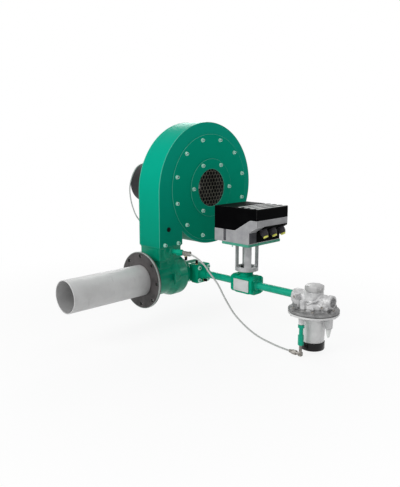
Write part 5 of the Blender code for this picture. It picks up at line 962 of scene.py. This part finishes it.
def spacer_cage():
    """Turned aluminium cage between the valve and the actuator, with four tall windows."""
    wall = [(41.6, 49), (41.6, 154.7), (20, 154.7), (20, 148.7), (29.4, 148.7), (29.4, 57), (8, 57), (8, 49)]
    shape = turned(wall, VALVE_AT, 'Z', 128)
    across = block((PIPE_X - 84, VALVE_Y - 18.8, 63), (PIPE_X + 84, VALVE_Y + 18.8, 144.7), 3, 0)
    along = block((PIPE_X - 18.8, VALVE_Y - 84, 63), (PIPE_X + 18.8, VALVE_Y + 84, 144.7), 3, 1)
    shape = cut(shape, across, along)
    piece("open_cage", shape, CAGE, "spacer_cage", bevel=0.5)
    screws = [socket_screw((PIPE_X + a, VALVE_Y + b, 57), 'Z', 4.4, 4.2) for a, b in ring_places(22, 4)]
    piece("cage_screws", together(*screws), DARK, "spacer_cage")


def adapter_plate():
    """Plate under the actuator, with its turned down lip and two studs."""
    corners = [(-86.6, -77), (95.4, -77), (95.4, 46), (-86.6, 46)]
    shape = plate(corners, 6, (PIPE_X, VALVE_Y, 155), 'Z', [(0, 0, 11, 48)], 6)
    piece("actuator_plate", shape, GREEN_LIP, "adapter_plate", bevel=0.8, edge=GREEN_EDGE)
    lip = cut(block((PIPE_X - 86.4, VALVE_Y - 76.8, 152), (PIPE_X + 95.2, VALVE_Y + 45.8, 155), 5, 2),
              block((PIPE_X - 83.4, VALVE_Y - 73.8, 150), (PIPE_X + 92.2, VALVE_Y + 42.8, 157), 3, 2))
    piece("plate_lip", lip, GREEN_LIP, "adapter_plate")
    studs = [hexagon_bolt((PIPE_X + a, -290, 155), '-Z', 8, 3.7, tip=11.5) for a in (-61, 61)]
    piece("plate_studs", together(*studs), ZINC, "adapter_plate")


def side_view(points, left, right):
    """A side outline of (y from the valve, height over the base), drawn out across X."""
    outline = [(VALVE_Y + y, BASE_Z + z) for y, z in points]
    return plate(outline, right - left, (left, 0, 0), 'X')


def drive_base():
    """Cast base of the actuator with its tray, side slots, recesses and corner posts; its pale rims are painted
    highlight, and dark sheets on its front and in its recesses are painted shade.
    """
    left, right = DRIVE_X
    base = side_view([(78, 0), (-77.4, 0), (-77.4, 40), (-110.9, 61.2), (-110.9, 83.6), (-82.7, 83.6),
                      (-16, 43.2), (78, 43.2)], left, right)
    pocket = side_view([(75, 3), (-74.4, 3), (-74.4, 43), (-107.9, 64.2), (-107.9, 130), (75, 130)],
                       left + 3, right - 3)
    slots = [side_view([(24, 2), (38, 2), (38, 50), (24, 50)], x - 2, x + 2) for x in DRIVE_X]
    base = cut(base, pocket, *slots, rod(7, 12, (PIPE_X, VALVE_Y, 155), 'Z', 32))
    piece("drive_base", base, CASTING_PALE, "actuator_base", bevel=1.2, segments=3, edge=CASTING_EDGE)
    # A dark sheet on the base's front face: painted shade.
    shade_sheet = block((left + 5, VALVE_Y - 78.3, BASE_Z + 2), (left + 43, VALVE_Y - 77, BASE_Z + 39), 0.4)
    piece("front_shade_sheet", shade_sheet, HOLLOW, "actuator_base")
    # Dark sheets inside the side slots' recesses: painted shade.
    recess = [(25, 3), (37, 3), (37, 43), (25, 43)]
    recesses = together(side_view(recess, left + 1.2, left + 2.6), side_view(recess, right - 2.6, right - 1.2))
    piece("recess_shade_sheets", recesses, HOLLOW, "actuator_base")
    posts = together(block((left + 0.2, -370, 161.5), (left + 8, -362, 199), 2),
                     block((right - 8, -370, 161.5), (right - 0.2, -362, 199), 2))
    piece("base_corner_posts", posts, CASTING_PALE)


def drive_glands():
    """Three cable glands on the base's slanted front, each with its yellow plug."""
    left, right = DRIVE_X
    low = Vector((0, VALVE_Y - 77.4, BASE_Z + 40))
    high = Vector((0, VALVE_Y - 110.9, BASE_Z + 61.2))
    along = (high - low).normalized()
    out = Vector((0, -along.z, along.y))
    places = [(low + high) / 2 + Vector((x, 0, 0)) for x in GLAND_X]
    bed = side_view([(-77.6, 3), (-80.4, 3), (-80.4, 36.2), (-112.6, 56.6), (-112.6, 60.8), (-111, 62),
                     (-77.6, 41)], left + 42, right - 4)
    glands = [gland_shape(27, 13.8, place, out, 7) for place in places]
    piece("drive_glands", together(*glands), GLAND, "actuator_base")
    piece("gland_bed", bed, BLACK, "actuator_base", bevel=0.6)
    plug = [(0, 12), (6.7, 12), (6.7, 27.3), (8.6, 27.3), (8.6, 30.4), (7.6, 31.6), (0, 32)]
    for side, place in zip(("left", "middle", "right"), places):
        piece("cable_plug_" + side, turned(plug, place, out, 32), YELLOW, "gland_plug_" + side)


def drive_cover():
    """Black cover of the actuator with its grooves, ridges and window, and the pointer in it. The ridges' pale
    colour and the pale rims are painted highlight.
    """
    left, right = DRIVE_X
    pitch = 26
    lid = side_view([(78, 43.5), (-16, 43.5), (-82.7, 83.9), (-110.9, 83.9), (-110.9, 121), (-109, 123),
                     (78, 123)], left, right)
    hollow = side_view([(75, 0), (-107.9, 0), (-107.9, 117), (75, 117)], left + 3, right - 3)
    grooves = [block((left + 7, VALVE_Y - 99 + i * pitch, COVER_Z - 3.2),
                     (right + 3, VALVE_Y - 88 + i * pitch, COVER_Z + 3)) for i in range(4)]
    lid = cut(lid, hollow, rod(11, 18, (PIPE_X, VALVE_Y, COVER_Z - 12), 'Z', 48), *grooves)
    # The rounded rims take the pale edge finish as painted highlight.
    piece("drive_cover", lid, BLACK, "actuator_cover", bevel=1.5, segments=3, edge=EDGE_HIGHLIGHT)
    # Pale ridges set in the grooves: painted highlight on their tops.
    ridges = [block((left + 9, VALVE_Y - 109.4 + i * pitch, COVER_Z - 2),
                    (right - 2, VALVE_Y - 99.4 + i * pitch, COVER_Z + 1), 0.9) for i in range(4)]
    piece("cover_ridges", together(*ridges), RIDGE_HIGHLIGHT, "actuator_cover")
    ring = turned([(11.2, 283.9), (15, 283.9), (15, 284.5), (14, 285), (12, 285), (11.2, 284.5)],
                  VALVE_AT, 'Z', 48)
    piece("window_ring", ring, BLACK, "actuator_cover")
    disc = turned([(0, 177.6), (4, 177.6), (4, 272.3), (10, 276.3), (10, 282.6), (9.2, 283.3), (0, 283.3)],
                  VALVE_AT, 'Z', 40)
    disc = cut(disc, block((PIPE_X - 1, VALVE_Y - 20, 282.3), (PIPE_X + 1, VALVE_Y, 290)))
    piece("valve_pointer", disc, POINTER, "position_indicator", body="valve_spindle")


def regulator_casting():
    """Upper casting of the air and gas ratio regulator, with its ports, ribs, lugs, plugs and cap."""
    at = REGULATOR_AT
    x, y, _ = at
    lugs = ring_places(75.5, 6, pi / 6)
    slant = Vector((-0.71, -0.7, 0))
    ridge = Vector((37, -41, 22))
    core = turned([(0, -40), (83.8, -40), (83.8, -33.6), (82.8, -33.2), (55, -33.2), (50.5, -31), (48.5, -26),
                   (46.5, -12), (43, -8), (33, -5), (30.4, -2), (30.4, 26), (0, 26)], at, 'Z', 96)
    outlet = turned([(0, 0), (24, 0), (24, 44), (26.4, 48), (26.4, 74), (24.4, 76), (0, 76)],
                    (x, y, -3), 'Y', 10)
    inlet = turned([(0, 0), (20, 0), (20, 52), (22.4, 55), (22.4, 70), (21.4, 71), (0, 71)], at, '-Y', 48)
    ribs = []
    for degrees in (148, 178, 262, 20, 65, 340):
        rib = block((30, -2.4, -40), (58, 2.4, -12), 1)
        turn = Matrix.Rotation(radians(degrees), 3, 'Z')
        bmesh.ops.rotate(rib, cent=(0, 0, 0), matrix=turn, verts=rib.verts)
        bmesh.ops.translate(rib, vec=at, verts=rib.verts)
        ribs.append(rib)
    shape = together(core, outlet, inlet,
                     block((x - 33, y - 42, -36), (x + 33, y + 42, -6), 7),
                     block((x - 23, y - 57, -36), (x + 23, y - 20, 6), 5),
                     block((x - 20, y - 62, -36), (x + 20, y - 30, -16), 4),
                     block((x - 25, y + 20, -36), (x + 25, y + 66, -8), 5),
                     *[rod(9, 13.5, (x + a * 0.98, y + b * 0.98, -40), 'Z', 24) for a, b in lugs],
                     *ribs,
                     rod(10, 40, (x - 50, y + 8, -38), 'Z', 32),
                     rod(7, 6, (x - 20, y - 44, 0), '-X', 32),
                     rod(7, 30, (x - 20, y + 44, 8), '-X', 32),
                     rod(6, 10, (x - 39, y - 24, -22), '-X', 24),
                     rod(3.4, ridge.length, (x - 48, y - 5, -9), ridge, 16),
                     rod(6, 12, (x - 24, y - 42, -14), slant, 24))
    shape = cut(cast(shape, 1.25, 2),
                rod(13.4, 60, (x, y - 73, 0), 'Y', 48),
                rod(16.2, 14, (x, y - 73, 0), 'Y', 48),
                rod(14, 70, (x, y + 60, 0), 'Y', 48),
                rod(18, 50, (x, y, -12), 'Z', 48),
                rod(62, 8, (x, y, -44), 'Z', 64))
    piece("regulator_casting", shape, CASTING, "regulator_body")
    plugs = [socket_screw((x - 32.2, y - 50.1, -14), slant, 4.2, 1.6),
             socket_screw((x - 49.6, y + 44, 8), '-X', 4.6, 1.2)]
    screws = [socket_screw((x + a, y + b, -27), 'Z', 4.6, 3) for a, b in ring_places(74.5, 6, pi / 6)]
    piece("casting_plugs", together(*plugs, *screws), NICKEL, "regulator_body")
    cap = turned([(0, 27.4), (31, 27.4), (32.2, 28.6), (32.2, 42.5), (30.2, 45.4), (27.6, 46.8), (0, 47)],
                 at, 'Z', 8)
    collar = turned([(0, 26.3), (29, 26.3), (29, 29), (0, 29)], at, 'Z', 64)
    port = turned([(0, 28), (6, 28), (6, 31), (5, 31.8), (4, 31.8), (4, 29.4), (0, 29.4)], (x, y, 36.4),
                  Vector((-0.2, -0.98, 0)), 28)
    piece("valve_cap", together(cap, collar, port), CAP_SHADED, "regulator_top_cap", bevel=0.9)
    seal = turned([(42.9, -41.8), (81.4, -41.8), (81.4, -40.3), (42.9, -40.3)], at, 'Z', 96)
    piece("diaphragm_edge", seal, RUBBER, "regulator_diaphragm")


def spring_housing():
    """Turned housing of the regulator's spring, the cast bosses on it and its bottom cap."""
    at = REGULATOR_AT
    x, y, _ = at
    lower = [(83.8, -42.1), (83.8, -47.9), (82.8, -48.9), (66, -48.9), (60, -55.1), (46, -60), (42.5, -62),
             (42.5, -68), (39.6, -70), (38, -139.6), (37.4, -142), (36.5, -142), (36.5, -159.6), (31, -159.6),
             (31, -58.1), (40, -55.1), (58, -49.1), (62, -42.1)]
    piece("spring_housing", turned(lower, at, 'Z', 96), TURNED, "regulator_lower_casing", bevel=0.4)
    vent = [(0, -44), (14.5, -44), (13.6, -58), (13.2, -84), (11.8, -88.6), (9, -90.6), (4, -90.6), (4, -85),
            (0, -85)]
    sense = [(0, -44), (10.5, -44), (9.4, -60), (9, -71.6), (4, -72.1), (0, -72.1)]
    lugs = ring_places(75.5, 6, pi / 6)
    bosses = together(turned(vent, VENT_AT, 'Z', 40),
                      block((x - 8, y - 58, -66), (x + 8, y - 38, -46), 4),
                      turned(sense, SENSE_AT, 'Z', 40),
                      block((x - 68, y - 6, -64), (x - 40, y + 6, -46), 3),
                      *[rod(8, 9.5, (x + a * 0.985, y + b * 0.985, -52), 'Z', 24) for a, b in lugs])
    hollow = turned([(0, -40), (62.2, -40), (62.2, -42.1), (58.2, -49.1), (40.2, -55.1), (31.2, -58.1),
                     (31.2, -120), (0, -120)], at, 'Z', 96)
    piece("lower_bosses", cut(cast(bosses, 0.9, 2), hollow), CASTING, "regulator_lower_casing")
    knurled = turned([(0, -159.9), (37.1, -159.9), (37.1, -142.3), (39.4, -142.3), (40, -143), (40, -165.5),
                      (38.8, -168.4), (36, -169.7), (0, -169.7)], at, 'Z', 96)
    piece("screw_cap", knurled, GLOSSY, "bottom_cap", body="cap")


def regulator_fittings():
    """Vent cone, green adapter and plated elbow under the regulator."""
    x, y, _ = SENSE_AT
    cone = turned([(0, -90.9), (8.8, -90.9), (8.8, -96), (7.6, -97.4), (6.6, -106), (3.8, -117.4),
                   (2.4, -119.3), (0, -119.3)], VENT_AT, 'Z', 36)
    piece("vent_cone", cone, WHITE, "vent_plug")
    adapter = together(turned([(3, -72.4), (10.6, -72.4), (10.6, -83.4), (3, -83.4)], SENSE_AT, 'Z', 6),
                       turned([(3, -83), (7, -83), (6.5, -85), (6.5, -106), (7, -107.4), (3, -107.4)],
                              SENSE_AT, 'Z', 32),
                       turned([(3, -107), (9.6, -107), (9.6, -141.4), (3, -141.4)], SENSE_AT, 'Z', 6))
    piece("sense_adapter", adapter, GREEN_PIPE, "impulse_adapter", bevel=0.8)
    elbow = together(rod(5, 26, (x, y, -168), 'Z', 32),
                     block((x - 6.5, y - 6.5, -179), (x + 6.5, y + 6.5, -165), 2.4),
                     turned([(3.9, 0), (5.4, 0), (5.4, 14), (8.2, 14.6), (8.2, 31), (7.4, 32), (3.9, 32)],
                            (x, y, -172), 'Y', 6),
                     turned([(3.9, 30), (6.6, 30), (6.2, 36), (5.6, 42), (3.9, 42)], (x, y, -172), 'Y', 32))
    piece("sense_elbow", elbow, NICKEL, "impulse_elbow", slot="brass", bevel=0.4)


def regulator_spring():
    """Coil spring under the diaphragm plates, which shorten it when they come down; it is drawn at one length."""
    turns, steps, low, high = 5, 24, -135.7, -46.4
    bm = bmesh.new()
    start = Matrix.Translation((PIPE_X + 20, REGULATOR_Y, low)) @ Matrix.Rotation(pi / 2, 4, 'X')
    bmesh.ops.create_circle(bm, segments=10, radius=2, matrix=start)
    bmesh.ops.spin(bm, geom=bm.verts[:] + bm.edges[:], cent=REGULATOR_AT, axis=(0, 0, 1),
                   dvec=(0, 0, (high - low) / (turns * steps)), angle=2 * pi * turns, steps=turns * steps)
    bmesh.ops.holes_fill(bm, edges=[e for e in bm.edges if e.is_boundary], sides=0)
    coil = piece("coil_spring", bm, ZINC, "regulator_spring", body=None)
    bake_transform(coil)


def air_tap():
    """Nipple with its hexagon, and the four way tee with its capped test points."""
    x, z = TEE
    at = (x, 0, z)
    tap = together(turned([(3, 55.3), (8.5, 55.3), (8.5, 91), (3, 91)], at, '-Y', 40),
                   turned([(3, 90.6), (12.4, 90.6), (12.4, 113.4), (3, 113.4)], at, '-Y', 6),
                   turned([(3, 113), (8.5, 113), (8.5, 121.3), (3, 121.3)], at, '-Y', 40))
    piece("tap_nipple", tap, GREEN_PIPE, "air_tap_nipple", bevel=0.7)
    tee = together(block((x - 7.5, -147.6, z - 7.5), (x + 7.5, -121.6, z + 7.5), 2, None, 3),
                   turned([(3.9, 146), (8, 146), (8, 156.5), (7.2, 157.4), (3.9, 157.4)], at, '-Y', 6),
                   turned([(3.9, 157), (6.2, 157), (5.4, 158.6), (3.9, 158.6)], at, '-Y', 32))
    piece("sense_tee", tee, NICKEL, "air_tap_tee", slot="brass", bevel=0.4)
    test_points("tee_test_points", "air_tap_tee", [
        ("tee_cap_side", "test_cap_tee_side", (x + 7.5, -134.3, z), 'X'),
        ("tee_cap_bottom", "test_cap_tee_bottom", (x, -134.3, z - 7.5), '-Z'),
    ])


def inner_parts():
    """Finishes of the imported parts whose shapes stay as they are."""
    kept = {
        STEEL: ("gas_tube",),
        FLANGE_STEEL: ("nozzle",),
        CERAMIC: ("spark_electrode", "flame_electrode"),
        DARK: ("inlet_cone", "impeller", "actuator_drive"),
        SHAFT: ("motor_shaft", "front_bearing", "rear_bearing"),
        MOTOR: ("motor_rear_shield",),
        BLACK: ("cooling_fan",),
        BRASS: ("valve_rotor", "regulator_valve", "spring_adjuster"),
        ZINC: ("shaft_coupling",),
    }
    for material, names in kept.items():
        for name in names:
            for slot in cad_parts[name].material_slots:
                slot.material = material


def floor():
    """Pale floor that shows only a soft shadow and melts into the white surroundings."""
    bm = bmesh.new()
    bmesh.ops.create_grid(bm, x_segments=1, y_segments=1, size=12)
    bmesh.ops.translate(bm, vec=(0.2, -0.2, FLOOR_Z * MM), verts=bm.verts)
    mesh = bpy.data.meshes.new("floor")
    bm.to_mesh(mesh)
    bm.free()
    finish = Finish("floor_white", Specular_IOR_Level=0.0)
    finish.wear((0.82, 0.82, 0.82), 0.9)
    spot = finish.spot()
    away = (spot.part('X') * spot.part('X') + spot.part('Y') * spot.part('Y')).root().rise(0.3, 1.5)
    glow = finish.node("ShaderNodeEmission", {}, {"Color": (1.0, 1.0, 1.0), "Strength": 1.0})
    path = finish.node("ShaderNodeLightPath", output="Is Camera Ray")
    seen = path + path.beside("Is Glossy Ray") + path.beside("Is Transmission Ray")
    shader = Value(finish, finish.shader.outputs[0])
    mixed = finish.node("ShaderNodeMixShader", {}, {0: seen * (0.88 + 0.12 * away), 1: shader, 2: glow})
    finish.feed(finish.tree.nodes["Material Output"].inputs["Surface"], mixed)
    mesh.materials.append(finish.material)
    linked("floor", mesh)


def area_light(name, place, aim, size, power):
    """A round soft light at a place in metres, turned to what it lights."""
    data = bpy.data.lights.new(name, 'AREA')
    data.shape = 'DISK'
    data.size = size
    data.energy = power
    obj = linked(name, data)
    obj.location = place
    obj.rotation_euler = (Vector(aim) - Vector(place)).to_track_quat('-Z', 'Y').to_euler()


def studio():
    """Surroundings that look white and light the burner weakly, and the five lights."""
    bpy.context.scene.view_settings.view_transform = 'Standard'
    world = bpy.data.worlds.new("surroundings")
    bpy.context.scene.world = world
    world.use_nodes = True
    nodes = Nodes(world.node_tree)
    back = world.node_tree.nodes["Background"]
    path = nodes.node("ShaderNodeLightPath", output="Is Camera Ray")
    seen = path.highest(path.beside("Is Glossy Ray").highest(path.beside("Is Transmission Ray")))
    nodes.feed(back.inputs["Color"], (1, 1, 1))
    nodes.feed(back.inputs["Strength"],
               nodes.node("ShaderNodeMapRange", {}, {"Value": seen, "To Min": 0.3, "To Max": 1.0}))
    area_light("key_left", (-2.6, 0.3, 1.7), (0.15, -0.2, 0.1), 1.6, 54)
    area_light("front_fill", (-1.7, -2.7, 0.9), (0.2, -0.3, 0.1), 1.6, 9)
    area_light("top_soft", (0.3, -0.1, 3.0), (0.25, -0.25, 0.0), 2.2, 14)
    area_light("right_glint", (2.2, -2.1, 1.0), (0.2, -0.2, 0.0), 0.6, 4)
    area_light("back_rim", (2.7, 2.6, 1.7), (0.25, -0.1, 0.3), 1.6, 45)


camera()
impulse_tube()
motor_cable()
combustion_tube()
mounting_flange()
burner_body()
gas_housing()
blower_housing()
inlet_covers()
inlet_grille()
motor()
terminal_box()
gas_inlet()
pipe("supply_pipe", "inlet_pipe", -271.7, 'Y', -97.4, "supply_weld")
pipe("outlet_pipe", "regulator_pipe", -343.3, '-Y', -520.0, "outlet_weld")
valve()
spacer_cage()
adapter_plate()
drive_base()
drive_glands()
drive_cover()
regulator_casting()
spring_housing()
regulator_fittings()
regulator_spring()
air_tap()
inner_parts()
floor()
studio()

bpy.context.view_layer.update()
